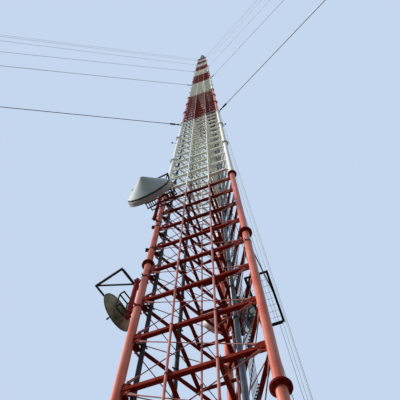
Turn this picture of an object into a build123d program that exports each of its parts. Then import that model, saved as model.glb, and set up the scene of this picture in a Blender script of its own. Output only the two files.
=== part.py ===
from build123d import *
import os
from math import atan2, cos, degrees, pi, radians, sin, sqrt

os.makedirs("parts", exist_ok=True)

# Guyed lattice radio mast, as a scale model at 1:10: one millimetre here is ten on the real mast.
# The origin is the centre of the foundation's flat underside. +Z is up, and the front face of the
# triangle, between the left and right legs, looks along -Y. The back leg stands on the +Y side.

# Lattice column
FACE_WIDTH = 250.0  # between leg centres
BAY = 150.0  # from one level of cross bars to the next
BAYS_PER_SECTION = 4
SECTIONS_PER_BAND = 3  # a colour band is three leg sections high
BANDS = 11  # red first, then white, red and so on
LEG_SIZE = 16.5  # leg tube, across the flats
FLANGE_SIZE = 32.0  # bolted ring at each end of a leg section
FLANGE_THICKNESS = 5.0  # both halves of the bolted joint together
FIRST_BAR = 105.0  # from a section's lower end to its first cross bars
BAR_SIZE = 8.0  # cross bars of the faces and of the inner frames

# Hoist shaft inside the column
GUIDE_SIZE = 4.8  # guide tubes of the shaft
GUIDE_MARGIN = 20.0  # the guides stop this far short of the column's ends

# Feeders, clamped to the inner side of the faces
BLACK_FEEDER_SIZE = 9.3
BLACK_FEEDER_PLACES = (0.10, 0.41)  # shares of the left face, from the left leg
CONDUIT_SIZE = 12.0
CONDUIT_PLACE = 0.50  # share of the right face, from the right leg
BUNDLE_SIZE = 3.5
BUNDLE_COUNT = 6
BUNDLE_PITCH = 6.5
BUNDLE_PLACE = 0.28  # share of the right face, from the right leg

# Foundation and leg shoes
FOOTING_WIDTH = 430.0  # across the flats of the six-sided footing
FOOTING_HEIGHT = 45.0
PLINTH_WIDTH = 370.0
PLINTH_HEIGHT = 90.0
PLINTH_TAPER = 4.0  # degrees
SHOE_WIDTH = 50.0
SHOE_PLATE = 4.0
SHOE_STUB = 11.0

# Guys
GUY_SIZE = 4.5
GUY_DROP = 40.0  # the guys meet the legs this far below the end of a band
GUY_LUG_REACH = 18.0
GUY_LUG_HEIGHT = 26.0
GUY_LUG_THICKNESS = 6.0
INNER_ANCHOR_RADIUS = 6800.0
OUTER_ANCHOR_RADIUS = 9000.0
INNER_BANDS = (2, 4, 6)  # a guy level stands on top of each of these bands
OUTER_BANDS = (8, 10, 11)
GUY_FAN = 14.0  # between the guys of one anchor plate
ANCHOR_PLATE_HEIGHT = 95.0  # the middle guy ends this far above the ground
ANCHOR_PLATE_THICKNESS = 7.0
ANCHOR_PLATE_END = 11.0  # width of the plate's square end under each guy
ANCHOR_PLATE_FOOT = (-15.0, 52.5)  # its foot, from the anchor's middle towards and away from the guys
ANCHOR_BLOCK = (150.0, 90.0, 30.0)  # along the guys, across them, and high
BLOCK_CHAMFER = 4.5

# Top of the mast
TOP_PLATE_THICKNESS = 6.0
TOP_PLATE_MARGIN = 12.0  # beyond the lines between the leg centres
ANTENNA_WIDTH = 92.0
PANEL_WIDTH = 88.0
PANEL_DEPTH = 44.0
PANEL_HEIGHT = 262.0
PANEL_PITCH = 280.0
PANEL_ROWS = 20
FIRST_PANEL = 20.0  # from the top plate to the first row of panels, and above the last one
ROD_SIZE = 4.0
ROD_HEIGHT = 320.0

# Lamps on short arms
LAMP_HEIGHT = 3010.0
LAMP_SIZE = 9.0
LAMP_BODY = 12.0
LAMP_ARM = 22.0
LAMP_ARM_SIZE = 2.4

# Dishes: each looks along its azimuth, and its centre is that of its rim, seen from above
SIDES = 18  # of the round dishes
SKIN = 1.6  # wall of the dishes
POLE_SIZE = 11.0
CLAMP_WALL = 3.0
CLAMP_HEIGHT = 7.0
ARM_SIZE = 5.0
BRACKET_SIZE = 3.5  # bars of the frames behind the dishes
SHIELD_SIZE = 5.0  # bars of the ice shields above the dishes
BOWL_FLAT = 7.5  # width of the small flat at the bottom of a bowl

# The dish with a conical cover, on the left leg
RADOME_WIDTH = 150.0
RADOME_DEPTH = 13.0
RADOME_CONE = 55.0
CONE_TIP = 7.5  # width of the cone's blunt tip
RADOME_CENTRE = (-134.0, -153.0)
RADOME_HEIGHT = 1760.0
RADOME_AZIMUTH = 264.0
RADOME_STANDOFF = 58.0  # from the rim back to the middle of the pole
RADOME_POLE = (-112.0, 98.0)  # ends of its pole, from the dish's centre
RADOME_FRAME = (86.0, 176.0)
RADOME_ASIDE = 30.0  # from the middle of the dish to the middle of its frame
RADOME_SHIELD = (50.0, 55.0, 94.0)  # across, along and above the dish's centre

# The open dish below it
OPEN_WIDTH = 93.0
OPEN_DEPTH = 17.0
OPEN_CENTRE = (-184.0, -58.0)
OPEN_HEIGHT = 1175.0
OPEN_AZIMUTH = 165.0
OPEN_STANDOFF = 38.0
OPEN_POLE = (-62.0, 118.0)
OPEN_FRAME = (31.0, 60.0)
OPEN_ASIDE = 8.0
OPEN_SHIELD = (98.0, 80.0, 108.0)
FEED_REACH = 38.0  # from the bottom of the bowl to the feed's mouth
FEED_SIZE = 7.0
FEED_TUBE = 2.8

# A small closed dish on the back leg
BACK_WIDTH = 55.0
BACK_DEPTH = 20.0
BACK_CENTRE = (-45.0, 165.0)
BACK_HEIGHT = 1400.0
BACK_AZIMUTH = 140.0
BACK_POLE = (-38.0, 38.0)

# The dish and the meshed shield behind the right face
REAR_WIDTH = 72.0
REAR_DEPTH = 16.0
REAR_STANDOFF = 30.0
REAR_PLACE = 0.61  # share of the right face, from the right leg
REAR_LEVELS = (6, 7)  # the pole is clamped to these cross bars, counted from the lowest
REAR_FRAME = (30.0, 36.0)
REAR_SHIELD = (50.0, 122.0)  # along X and along Y
REAR_SHIELD_HEIGHT = 1130.0
MESH_PITCH = 14.0
MESH_COLUMNS = 3
MESH_SIZE = 1.2
STAY_SIZE = 3.0
STAY_RISE = 150.0  # from the shield up to the stay's clamp

# Clearance between pieces that only pass each other
CLEARANCE = 0.3

SECTION = BAY * BAYS_PER_SECTION
BAND = SECTION * SECTIONS_PER_BAND
ANTENNA_HEIGHT = 2 * FIRST_PANEL + PANEL_PITCH * (PANEL_ROWS - 1) + PANEL_HEIGHT
PLINTH_TOP = FOOTING_HEIGHT + PLINTH_HEIGHT
COLUMN_BASE = PLINTH_TOP + SHOE_PLATE + SHOE_STUB
COLUMN_TOP = COLUMN_BASE + BAND * BANDS
LEG_RADIUS = FACE_WIDTH / sqrt(3)  # leg centres from the mast's axis
FACE_RADIUS = LEG_RADIUS / 2  # faces from the mast's axis
LEG_CORNER = LEG_SIZE / sqrt(3)  # leg centre to an edge of the six-sided tube
FLAT_TO_CORNER = 30.0  # degrees, of a six-sided outline
LEG_AZIMUTHS = {"left": 210.0, "right": 330.0, "back": 90.0}
FACE_AZIMUTHS = {"front": 270.0, "left": 150.0, "right": 30.0}


def polar(radius, azimuth, z=0.0):
    """A point at a distance from the mast's axis, in a compass direction and at a height."""
    return Vector(radius * cos(radians(azimuth)), radius * sin(radians(azimuth)), z)


def hexagon(size, flat_at=0.0):
    """Six-sided outline, with its size across the flats and one flat facing the given azimuth."""
    return RegularPolygon(size / 2, 6, major_radius=False, rotation=flat_at + FLAT_TO_CORNER)


def post(size, height, flat_at=0.0):
    """Upright six-sided bar that stands on z = 0."""
    return extrude(hexagon(size, flat_at), height)


def save(node, solids):
    """Write one node's solids to its own file."""
    export_step(Compound(children=list(solids)), f"parts/{node}.step")


def bar_levels(band):
    """Heights of one band's cross bars."""
    start = COLUMN_BASE + BAND * band + FIRST_BAR
    return [start + BAY * i for i in range(BAYS_PER_SECTION * SECTIONS_PER_BAND)]


def colour_bands(colour):
    """The bands of one colour, counted from the ground: red, white, red and so on."""
    return range(0 if colour == "red" else 1, BANDS, 2)


def leg_length():
    """One leg's three sections within a colour band, standing on z = 0, with their flanges."""
    leg = post(LEG_SIZE, BAND)
    for joint in range(SECTIONS_PER_BAND):
        leg += Pos(0, 0, joint * SECTION) * post(FLANGE_SIZE, FLANGE_THICKNESS)
    return leg


def make_legs():
    """Each leg's red lengths in one node and its white lengths in another."""
    length = leg_length()
    for name, azimuth in LEG_AZIMUTHS.items():
        for colour in ("red", "white"):
            places = [polar(LEG_RADIUS, azimuth, COLUMN_BASE + BAND * i) for i in colour_bands(colour)]
            save(f"{name}_leg_{colour}", [Pos(*p) * length for p in places])


def make_faces():
    """Cross bars of each face. They end flat against the flats of the two legs."""
    bar = Box(BAR_SIZE, FACE_WIDTH - LEG_SIZE, BAR_SIZE)
    for name, azimuth in FACE_AZIMUTHS.items():
        for colour in ("red", "white"):
            heights = [z for i in colour_bands(colour) for z in bar_levels(i)]
            places = [Rot(0, 0, azimuth) * Pos(FACE_RADIUS, 0, z) for z in heights]
            save(f"{name}_face_{colour}", [p * bar for p in places])


def make_shaft():
    """Hoist shaft: a U-shaped frame on each band's lowest cross bars, and four guide tubes."""
    third = FACE_WIDTH / 3
    outer = Rectangle(third + BAR_SIZE, 2 * FACE_RADIUS + BAR_SIZE)
    inner = Pos(0, -BAR_SIZE) * Rectangle(third - BAR_SIZE, 2 * FACE_RADIUS + BAR_SIZE)
    frame = extrude(outer - inner, BAR_SIZE)
    for colour in ("red", "white"):
        heights = [bar_levels(i)[0] for i in colour_bands(colour)]
        save(f"shaft_frames_{colour}", [Pos(0, 0, z + BAR_SIZE / 2) * frame for z in heights])

    height = COLUMN_TOP - COLUMN_BASE - 2 * GUIDE_MARGIN
    front = FACE_RADIUS + (BAR_SIZE + GUIDE_SIZE) / 2
    side = third / 2 - (BAR_SIZE + GUIDE_SIZE) / 2
    rear = FACE_RADIUS - BAR_SIZE / 2 - GUIDE_SIZE / sqrt(3) - CLEARANCE
    start = COLUMN_BASE + GUIDE_MARGIN
    guides = [Pos(x, -front, start) * post(GUIDE_SIZE, height, 90) for x in (-third / 2, third / 2)]
    guides += [Pos(x, rear, start) * post(GUIDE_SIZE, height) for x in (-side, side)]
    save("shaft_guides", guides)


def on_face(azimuth, share, size, from_left=True):
    """Place on a face's inner side, a share of the way along it, for a feeder of a given size."""
    along = (share - 0.5) * FACE_WIDTH * (-1 if from_left else 1)
    return Rot(0, 0, azimuth) * Pos(FACE_RADIUS - (BAR_SIZE + size) / 2, along, COLUMN_BASE + GUIDE_MARGIN)


def make_feeders():
    """Two black feeders, one wide conduit and a row of thin feeders, from the foot to the top."""
    height = COLUMN_TOP - COLUMN_BASE - 2 * GUIDE_MARGIN
    black = post(BLACK_FEEDER_SIZE, height)
    left = FACE_AZIMUTHS["left"]
    right = FACE_AZIMUTHS["right"]
    save("black_feeders", [on_face(left, s, BLACK_FEEDER_SIZE) * black for s in BLACK_FEEDER_PLACES])
    save("grey_conduit", [on_face(right, CONDUIT_PLACE, CONDUIT_SIZE, False) * post(CONDUIT_SIZE, height)])
    shares = [BUNDLE_PLACE + i * BUNDLE_PITCH / FACE_WIDTH for i in range(BUNDLE_COUNT)]
    thin = post(BUNDLE_SIZE, height)
    save("feeder_bundle", [on_face(right, s, BUNDLE_SIZE, False) * thin for s in shares])


def make_foundation():
    """Six-sided concrete footing with a battered plinth, and a steel shoe under each leg."""
    footing = extrude(hexagon(FOOTING_WIDTH, FLAT_TO_CORNER), FOOTING_HEIGHT)
    plinth = extrude(hexagon(PLINTH_WIDTH, FLAT_TO_CORNER), PLINTH_HEIGHT, taper=PLINTH_TAPER)
    save("foundation", [footing + Pos(0, 0, FOOTING_HEIGHT) * plinth])

    shoe = Pos(0, 0, SHOE_PLATE / 2) * Box(SHOE_WIDTH, SHOE_WIDTH, SHOE_PLATE)
    shoe += post(LEG_SIZE, SHOE_PLATE + SHOE_STUB)
    feet = [polar(LEG_RADIUS, azimuth, PLINTH_TOP) for azimuth in LEG_AZIMUTHS.values()]
    save("leg_shoes", [Pos(*p) * shoe for p in feet])


def guy_ends(bands, anchor_radius):
    """Both ends of each guy that one anchor holds, as (radius, height) pairs in the leg's plane.

    The lug's end on the leg comes first. At the anchor the guys are fanned out across the mean
    direction, the steepest one furthest from the mast.
    """
    starts = [(LEG_RADIUS + LEG_CORNER, COLUMN_BASE + BAND * band - GUY_DROP) for band in bands]
    middle = starts[len(starts) // 2]
    mean = atan2(middle[1] - ANCHOR_PLATE_HEIGHT, anchor_radius - middle[0])
    ends = []
    for i, (r, z) in enumerate(starts):
        shift = GUY_FAN * (i - len(starts) // 2)
        r_end = anchor_radius + shift * sin(mean)
        z_end = ANCHOR_PLATE_HEIGHT + shift * cos(mean)
        length = sqrt((r_end - r) ** 2 + (z_end - z) ** 2)
        slope = ((r_end - r) / length, (z_end - z) / length)
        lug = (r + GUY_LUG_REACH * slope[0], z + GUY_LUG_REACH * slope[1])
        ends.append((lug, (r_end, z_end), slope))
    return ends


def upright_plate(outline, thickness):
    """Plate in the plane of one leg and its guys, from an outline of (radius, height) points."""
    face = make_face(Polyline(*outline, close=True))
    return extrude(Plane.XZ * face, thickness / 2, both=True)


def guy_bar(start, end):
    """Straight guy between two (radius, height) points."""
    a, b = Vector(start[0], 0, start[1]), Vector(end[0], 0, end[1])
    plane = Plane(origin=a, x_dir=(0, 1, 0), z_dir=b - a)
    return extrude(plane * hexagon(GUY_SIZE), (b - a).length)


def guy_lug(end, slope):
    """Lug that stands out from the leg's edge and ends square to its guy."""
    r, z = LEG_RADIUS + LEG_CORNER, end[1] - GUY_LUG_REACH * slope[1]
    half = GUY_SIZE
    across = (-slope[1], slope[0])
    upper = (end[0] + across[0] * half, end[1] + across[1] * half)
    lower = (end[0] - across[0] * half, end[1] - across[1] * half)
    top = (r, z + GUY_LUG_HEIGHT / 2)
    foot = (r, z - GUY_LUG_HEIGHT / 2)
    return upright_plate([foot, lower, upper, top], GUY_LUG_THICKNESS)


def anchor_plate(ends, radius):
    """Steel plate on the anchor block, with one square end for each guy that comes down to it."""
    half = ANCHOR_PLATE_END / 2
    fan = []
    for _, (r, z), slope in ends:
        across = (-slope[1], slope[0])
        fan.append((r - across[0] * half, z - across[1] * half))
        fan.append((r + across[0] * half, z + across[1] * half))
    front, rear = ((radius + foot, ANCHOR_BLOCK[2]) for foot in ANCHOR_PLATE_FOOT)
    return upright_plate([front, *fan, rear], ANCHOR_PLATE_THICKNESS)


def make_guys():
    """Three guys from each leg to its inner anchor and three to its outer one."""
    groups = [guy_ends(INNER_BANDS, INNER_ANCHOR_RADIUS), guy_ends(OUTER_BANDS, OUTER_ANCHOR_RADIUS)]
    radii = (INNER_ANCHOR_RADIUS, OUTER_ANCHOR_RADIUS)
    bars = [guy_bar(lug, end) for ends in groups for lug, end, _ in ends]
    lugs = [guy_lug(lug, slope) for ends in groups for lug, _, slope in ends]
    for name, azimuth in LEG_AZIMUTHS.items():
        save(f"{name}_guys", [Rot(0, 0, azimuth) * bar for bar in bars])
    turns = [Rot(0, 0, azimuth) for azimuth in LEG_AZIMUTHS.values()]
    save("guy_lugs", [turn * lug for turn in turns for lug in lugs])
    plates = [anchor_plate(ends, radius) for ends, radius in zip(groups, radii)]
    save("anchor_plates", [turn * plate for turn in turns for plate in plates])
    length, width, height = ANCHOR_BLOCK
    block = chamfer(Box(length, width, height).edges().group_by(Axis.Z)[-1], BLOCK_CHAMFER)
    for name, radius in zip(("inner", "outer"), radii):
        save(f"{name}_anchor_blocks", [turn * Pos(radius, 0, height / 2) * block for turn in turns])


def make_top():
    """Top plate, the panel antenna that stands on it, and the lightning rod."""
    triangle = RegularPolygon(FACE_RADIUS + TOP_PLATE_MARGIN, 3, major_radius=False, rotation=90)
    outline = triangle & hexagon(2 * (LEG_RADIUS + TOP_PLATE_MARGIN), 90)
    save("top_plate", [Pos(0, 0, COLUMN_TOP) * extrude(outline, TOP_PLATE_THICKNESS)])
    base = COLUMN_TOP + TOP_PLATE_THICKNESS
    column = Pos(0, 0, base + ANTENNA_HEIGHT / 2) * Box(ANTENNA_WIDTH, ANTENNA_WIDTH, ANTENNA_HEIGHT)
    save("antenna_column", [column])
    panel = Box(PANEL_DEPTH, PANEL_WIDTH, PANEL_HEIGHT)
    out = (ANTENNA_WIDTH + PANEL_DEPTH) / 2
    first = base + PANEL_HEIGHT / 2 + FIRST_PANEL
    rows = [first + PANEL_PITCH * i for i in range(PANEL_ROWS)]
    save("antenna_panels", [Rot(0, 0, 90 * k) * Pos(out, 0, z) * panel for z in rows for k in range(4)])
    save("lightning_rod", [Pos(0, 0, base + ANTENNA_HEIGHT) * post(ROD_SIZE, ROD_HEIGHT)])


def make_lamps():
    """A lamp on a short arm at each leg's outer edge."""
    arm = Rot(0, 90, 0) * extrude(hexagon(LAMP_ARM_SIZE), LAMP_ARM)
    lamp = Pos(LAMP_ARM, 0, -LAMP_BODY / 2) * post(LAMP_SIZE, LAMP_BODY)
    start = Pos(LEG_RADIUS + LEG_CORNER, 0, LAMP_HEIGHT)
    save("side_lamps", [Rot(0, 0, a) * start * (arm + lamp) for a in LEG_AZIMUTHS.values()])


def dish_place(centre, height, azimuth):
    """A dish's own frame: its +Z is the level direction that it looks in, and its +Y is up."""
    origin = (*centre, height)
    return Plane(origin=origin, x_dir=polar(1, azimuth + 90), z_dir=polar(1, azimuth)).location


def many_sided(rings):
    """Solid with flat sides between many-sided rings, given in order as (radius, height) pairs."""
    turns = [2 * pi * i / SIDES for i in range(SIDES)]
    loops = [[Vector(r * cos(t), r * sin(t), z) for t in turns] for r, z in rings]
    faces = [Face(Wire.make_polygon(loop)) for loop in (loops[0], loops[-1])]
    for low, high in zip(loops, loops[1:]):
        for i in range(SIDES):
            faces.append(Face(Wire.make_polygon([low[i - 1], low[i], high[i], high[i - 1]])))
    return Solid(Shell(faces))


def bowl(width, depth):
    """Shallow dish open towards local +Z, with its rim at z = 0 and a small flat at its bottom."""
    steps = 4
    outside = [(BOWL_FLAT / 2, -depth)]
    for i in range(1, steps + 1):
        outside.append((width / 2 * i / steps, depth * ((i / steps) ** 2 - 1)))
    inside = [(r, z + SKIN) for r, z in reversed(outside[:-1])]
    return many_sided(outside + [(width / 2 - SKIN, 0)] + inside)


def frame_of(width, height, size, thickness):
    """Rectangular frame of square bars around the origin, lying on z = 0."""
    hole = Rectangle(width - 2 * size, height - 2 * size)
    return extrude(Rectangle(width, height) - hole, thickness)


def dish_bracket(size, seat, standoff, aside=0.0):
    """Frame behind a dish, with two pairs of arms back to cross bars on the pole's front flat.

    size is the frame's width and height, seat the level of its front in the dish's frame, and
    aside how far its middle is from the dish's.
    """
    width, height = size
    bar = BRACKET_SIZE
    rear = POLE_SIZE / 2 - standoff
    reach = seat - rear
    bracket = Pos(0, 0, seat - bar) * frame_of(width, height, bar, bar)
    for y in (bar / 2 - height / 2, height / 2 - bar / 2):
        bracket += Pos(0, y, rear + bar / 2) * Box(width, bar, bar)
        for x in (bar / 2 - width / 2, width / 2 - bar / 2):
            bracket += Pos(x, y, rear + reach / 2) * Box(bar, bar, reach)
    return Pos(aside) * bracket


def leg_mount(centre, height, azimuth, standoff, ends, leg):
    """Pole behind a dish, held beside a leg by two clamps that go round the leg's tube."""
    middle = Vector(*centre, 0) - polar(standoff, azimuth)
    foot = polar(LEG_RADIUS, LEG_AZIMUTHS[leg])
    across = middle - foot
    low, high = height + ends[0], height + ends[1]
    mount = Pos(*middle) * Pos(0, 0, low) * post(POLE_SIZE, high - low, azimuth)
    arm = Pos(across.length / 2, 0, CLAMP_HEIGHT / 2) * Box(across.length, ARM_SIZE, CLAMP_HEIGHT)
    turn = degrees(atan2(across.Y, across.X))
    clamp = post(LEG_SIZE + 2 * CLAMP_WALL, CLAMP_HEIGHT) + Rot(0, 0, turn) * arm
    inset = 2 * CLAMP_HEIGHT
    for z in (low + inset, high - inset - CLAMP_HEIGHT):
        mount += Pos(*foot) * Pos(0, 0, z) * clamp
    return mount - Pos(*foot) * Pos(0, 0, low) * post(LEG_SIZE, high - low)


def ice_shield(size, standoff):
    """Level frame over a dish, braced from the middle of its inner edge to one outer corner.

    It is drawn in the dish's frame: across is X, along is Z, and it starts at the pole's front flat.
    """
    across, along, above = size
    bar = SHIELD_SIZE
    rise, run = along - bar, (across - bar) / 2
    turn = degrees(atan2(rise, -run))
    brace = Rot(0, 0, turn) * Box(sqrt(rise**2 + run**2), BRACKET_SIZE, BRACKET_SIZE)
    shield = frame_of(across, along, bar, bar) + Pos(-run / 2, 0, BRACKET_SIZE / 2) * brace
    start = POLE_SIZE / 2 - standoff
    return Pos(0, above, start + along / 2) * Rot(90, 0, 0) * shield


def make_radome_dish():
    """Shrouded dish on the left leg: a drum closed by a cone, its bracket, pole and ice shield."""
    place = dish_place(RADOME_CENTRE, RADOME_HEIGHT, RADOME_AZIMUTH)
    radius = RADOME_WIDTH / 2
    bore = radius - SKIN
    drum = many_sided([(radius, -RADOME_DEPTH), (radius, 0), (bore, 0), (bore, SKIN - RADOME_DEPTH)])
    save("radome_drum", [place * drum])
    save("radome_cover", [place * many_sided([(radius, 0), (CONE_TIP / 2, RADOME_CONE)])])
    bracket = dish_bracket(RADOME_FRAME, -RADOME_DEPTH, RADOME_STANDOFF, RADOME_ASIDE)
    save("radome_bracket", [place * bracket])
    mount = leg_mount(
        RADOME_CENTRE, RADOME_HEIGHT, RADOME_AZIMUTH, RADOME_STANDOFF, RADOME_POLE, "left"
    )
    save("radome_mount", [mount])
    save("radome_ice_shield", [place * ice_shield(RADOME_SHIELD, RADOME_STANDOFF)])


def bracket_seat(frame, width, depth, aside=0.0):
    """Level at which a bracket's frame meets the outside of a bowl, in the dish's frame."""
    reach = frame[0] / 2 - BRACKET_SIZE - aside
    return -depth * (1 - (2 * reach / width) ** 2) - CLEARANCE


def dish_feed(depth):
    """Feed on a thin tube from the middle of the bowl, with a round head at its outer end."""
    start = SKIN - depth
    tube = Pos(0, 0, start) * extrude(hexagon(FEED_TUBE), FEED_REACH)
    return tube + Pos(0, 0, start + FEED_REACH) * extrude(hexagon(FEED_SIZE), FEED_SIZE)


def make_open_dish():
    """Open dish on the left leg: a bowl with its feed, bracket, pole and ice shield."""
    place = dish_place(OPEN_CENTRE, OPEN_HEIGHT, OPEN_AZIMUTH)
    save("open_dish", [place * bowl(OPEN_WIDTH, OPEN_DEPTH)])
    save("open_dish_feed", [place * dish_feed(OPEN_DEPTH)])
    seat = bracket_seat(OPEN_FRAME, OPEN_WIDTH, OPEN_DEPTH, OPEN_ASIDE)
    bracket = dish_bracket(OPEN_FRAME, seat, OPEN_STANDOFF, OPEN_ASIDE)
    save("open_dish_bracket", [place * bracket])
    mount = leg_mount(OPEN_CENTRE, OPEN_HEIGHT, OPEN_AZIMUTH, OPEN_STANDOFF, OPEN_POLE, "left")
    save("open_dish_mount", [mount])
    save("open_dish_ice_shield", [place * ice_shield(OPEN_SHIELD, OPEN_STANDOFF)])


def make_back_dish():
    """Small closed dish on the back leg: a flat drum that sits straight on its pole."""
    place = dish_place(BACK_CENTRE, BACK_HEIGHT, BACK_AZIMUTH)
    radius = BACK_WIDTH / 2
    save("back_dish", [place * many_sided([(radius, -BACK_DEPTH), (radius, 0)])])
    standoff = BACK_DEPTH + POLE_SIZE / 2
    save("back_dish_mount", [leg_mount(BACK_CENTRE, BACK_HEIGHT, BACK_AZIMUTH, standoff, BACK_POLE, "back")])


def make_rear_dish():
    """Dish behind the right face, on a pole that is clamped to two cross bars."""
    azimuth = FACE_AZIMUTHS["right"]
    first = COLUMN_BASE + FIRST_BAR
    low, high = (first + BAY * level for level in REAR_LEVELS)
    along = (REAR_PLACE - 0.5) * FACE_WIDTH
    pole_radius = FACE_RADIUS + (BAR_SIZE + POLE_SIZE) / 2
    centre = (Rot(0, 0, azimuth) * Pos(pole_radius + REAR_STANDOFF, along)).position
    place = dish_place((centre.X, centre.Y), (low + high) / 2, azimuth)
    save("rear_dish", [place * bowl(REAR_WIDTH, REAR_DEPTH)])
    save("rear_dish_feed", [place * dish_feed(REAR_DEPTH)])
    seat = bracket_seat(REAR_FRAME, REAR_WIDTH, REAR_DEPTH)
    save("rear_dish_bracket", [place * dish_bracket(REAR_FRAME, seat, REAR_STANDOFF)])
    pole_place = Rot(0, 0, azimuth) * Pos(pole_radius, along, low - BAR_SIZE)
    save("rear_dish_pole", [pole_place * post(POLE_SIZE, high - low + 2 * BAR_SIZE)])


def make_rear_shield():
    """Ice shield behind the right leg: a frame filled with mesh, and the stay that holds its edge."""
    width, length = REAR_SHIELD
    leg = polar(LEG_RADIUS, LEG_AZIMUTHS["right"])
    edge = leg.Y + LEG_CORNER
    centre = Pos(leg.X, edge + length / 2, REAR_SHIELD_HEIGHT)
    frame = frame_of(width, length, SHIELD_SIZE, SHIELD_SIZE)
    save("rear_ice_shield", [centre * frame])
    inner_width, inner_length = width - 2 * SHIELD_SIZE, length - 2 * SHIELD_SIZE
    columns = [inner_width * (i / MESH_COLUMNS - 0.5) for i in range(1, MESH_COLUMNS)]
    wires = [Pos(x) * Box(MESH_SIZE, inner_length, MESH_SIZE) for x in columns]
    rows = int(inner_length / MESH_PITCH)
    for i in range(1, rows):
        wires.append(Pos(0, inner_length * (i / rows - 0.5)) * Box(inner_width, MESH_SIZE, MESH_SIZE))
    mesh = wires[0].fuse(*wires[1:])
    save("rear_shield_mesh", [centre * Pos(0, 0, SHIELD_SIZE / 2) * mesh])

    foot = Vector(leg.X + (width - SHIELD_SIZE) / 2, edge + length / 2, REAR_SHIELD_HEIGHT + SHIELD_SIZE)
    top = Vector(leg.X, leg.Y, foot.Z + STAY_RISE)
    out = Vector(foot.X - top.X, foot.Y - top.Y, 0).normalized()
    start = top + out * (LEG_SIZE + CLAMP_WALL) / 2
    run = foot - start
    stay = extrude(Plane(origin=start, z_dir=run) * hexagon(STAY_SIZE), run.length)
    stay += Pos(top.X, top.Y, top.Z - CLAMP_HEIGHT / 2) * post(LEG_SIZE + 2 * CLAMP_WALL, CLAMP_HEIGHT)
    stay -= Pos(leg.X, leg.Y, foot.Z) * post(LEG_SIZE, 2 * STAY_RISE)
    stay -= centre * Pos(0, 0, SHIELD_SIZE / 2) * Box(width, length, SHIELD_SIZE)
    save("rear_shield_stay", stay.solids())


make_legs()
make_faces()
make_shaft()
make_feeders()
make_foundation()
make_guys()
make_top()
make_lamps()
make_radome_dish()
make_open_dish()
make_back_dish()
make_rear_dish()
make_rear_shield()
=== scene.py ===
# %% [markdown]
# # A guyed radio mast, seen from its foot
#
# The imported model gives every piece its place: three legs, cross bars, guys, dishes, all as plain
# many-sided bars. Here each of them gets its real form and its paint. The model is at 1:10, so a
# leg tube of 165 mm is 0.0165 m here. The frame comes first, and everything is built around it.

# %% Load the frame
import math

import bpy
import numpy as np
from mathutils import Matrix


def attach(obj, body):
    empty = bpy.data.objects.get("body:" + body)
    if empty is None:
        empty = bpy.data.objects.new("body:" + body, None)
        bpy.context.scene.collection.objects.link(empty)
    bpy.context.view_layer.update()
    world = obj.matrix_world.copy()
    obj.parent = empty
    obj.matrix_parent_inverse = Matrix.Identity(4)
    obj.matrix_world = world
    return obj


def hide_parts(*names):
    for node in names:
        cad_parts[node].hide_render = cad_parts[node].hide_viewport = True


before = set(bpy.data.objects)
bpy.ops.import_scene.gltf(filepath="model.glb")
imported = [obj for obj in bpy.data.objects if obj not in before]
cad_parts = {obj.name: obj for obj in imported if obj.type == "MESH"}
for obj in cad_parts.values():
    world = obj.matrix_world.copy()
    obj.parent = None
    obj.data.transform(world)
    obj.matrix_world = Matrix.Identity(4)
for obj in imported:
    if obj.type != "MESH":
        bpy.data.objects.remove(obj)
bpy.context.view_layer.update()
print("CAD nodes:", len(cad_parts))

# %% [markdown]
# ## The camera
#
# The photo is taken standing close to the mast and looking steeply up, so the legs run together
# towards the zenith. The camera is set by its place and three angles: the direction, the elevation
# and a small roll. Its three axes follow from those angles by plain trigonometry.

# %% Camera
EYE = np.array([0.1727, -0.5151, 0.1477])
LOOK_AZIMUTH, LOOK_ELEVATION, ROLL = (math.radians(a) for a in (20.473, 73.746, 0.816))
SENSOR, LENS = 36.0, 47.98


def camera_axes(azimuth, elevation, roll):
    """Right, up and forward: forward = (-sin a cos e, cos a cos e, sin e), and roll turns the others."""
    forward = np.array([-math.sin(azimuth) * math.cos(elevation),
                        math.cos(azimuth) * math.cos(elevation), math.sin(elevation)])
    right = np.array([math.cos(azimuth), math.sin(azimuth), 0.0])
    up = np.cross(right, forward)
    c, s = math.cos(roll), math.sin(roll)
    return c * right + s * up, c * up - s * right, forward


right, up, forward = camera_axes(LOOK_AZIMUTH, LOOK_ELEVATION, ROLL)
camera = bpy.data.objects.new("camera", bpy.data.cameras.new("camera"))
camera.data.sensor_width, camera.data.lens = SENSOR, LENS
camera.data.clip_start, camera.data.clip_end = 0.01, 300.0
pose = np.eye(4)
pose[:3] = np.column_stack([right, up, -forward, EYE])
camera.matrix_world = Matrix(pose.tolist())
bpy.context.scene.collection.objects.link(camera)
bpy.context.scene.camera = camera
print("Camera looks along", np.round(forward, 3))

# %% [markdown]
# ## Light and background
#
# A sun from the left, nine degrees wide so that its shadows have soft edges, gives most of the
# light, and an even bluish sky fills in the rest. What the camera, mirrors and glass see of the sky
# is a pale blue of strength 1, kept apart from the light itself by the Light Path node, so that the
# white paint stands out and colours stay as they are written.

# %% Light and background
SKY = (0.56, 0.68, 0.86, 1.0)
FILL, FILL_COLOUR = 0.53, (0.84, 0.93, 1.0, 1.0)
SUN, SUN_COLOUR, SUN_WIDTH = 4.4, (1.0, 0.96, 0.9), math.radians(9)
SUN_AZIMUTH, SUN_ELEVATION = math.radians(204), math.radians(34)

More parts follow.
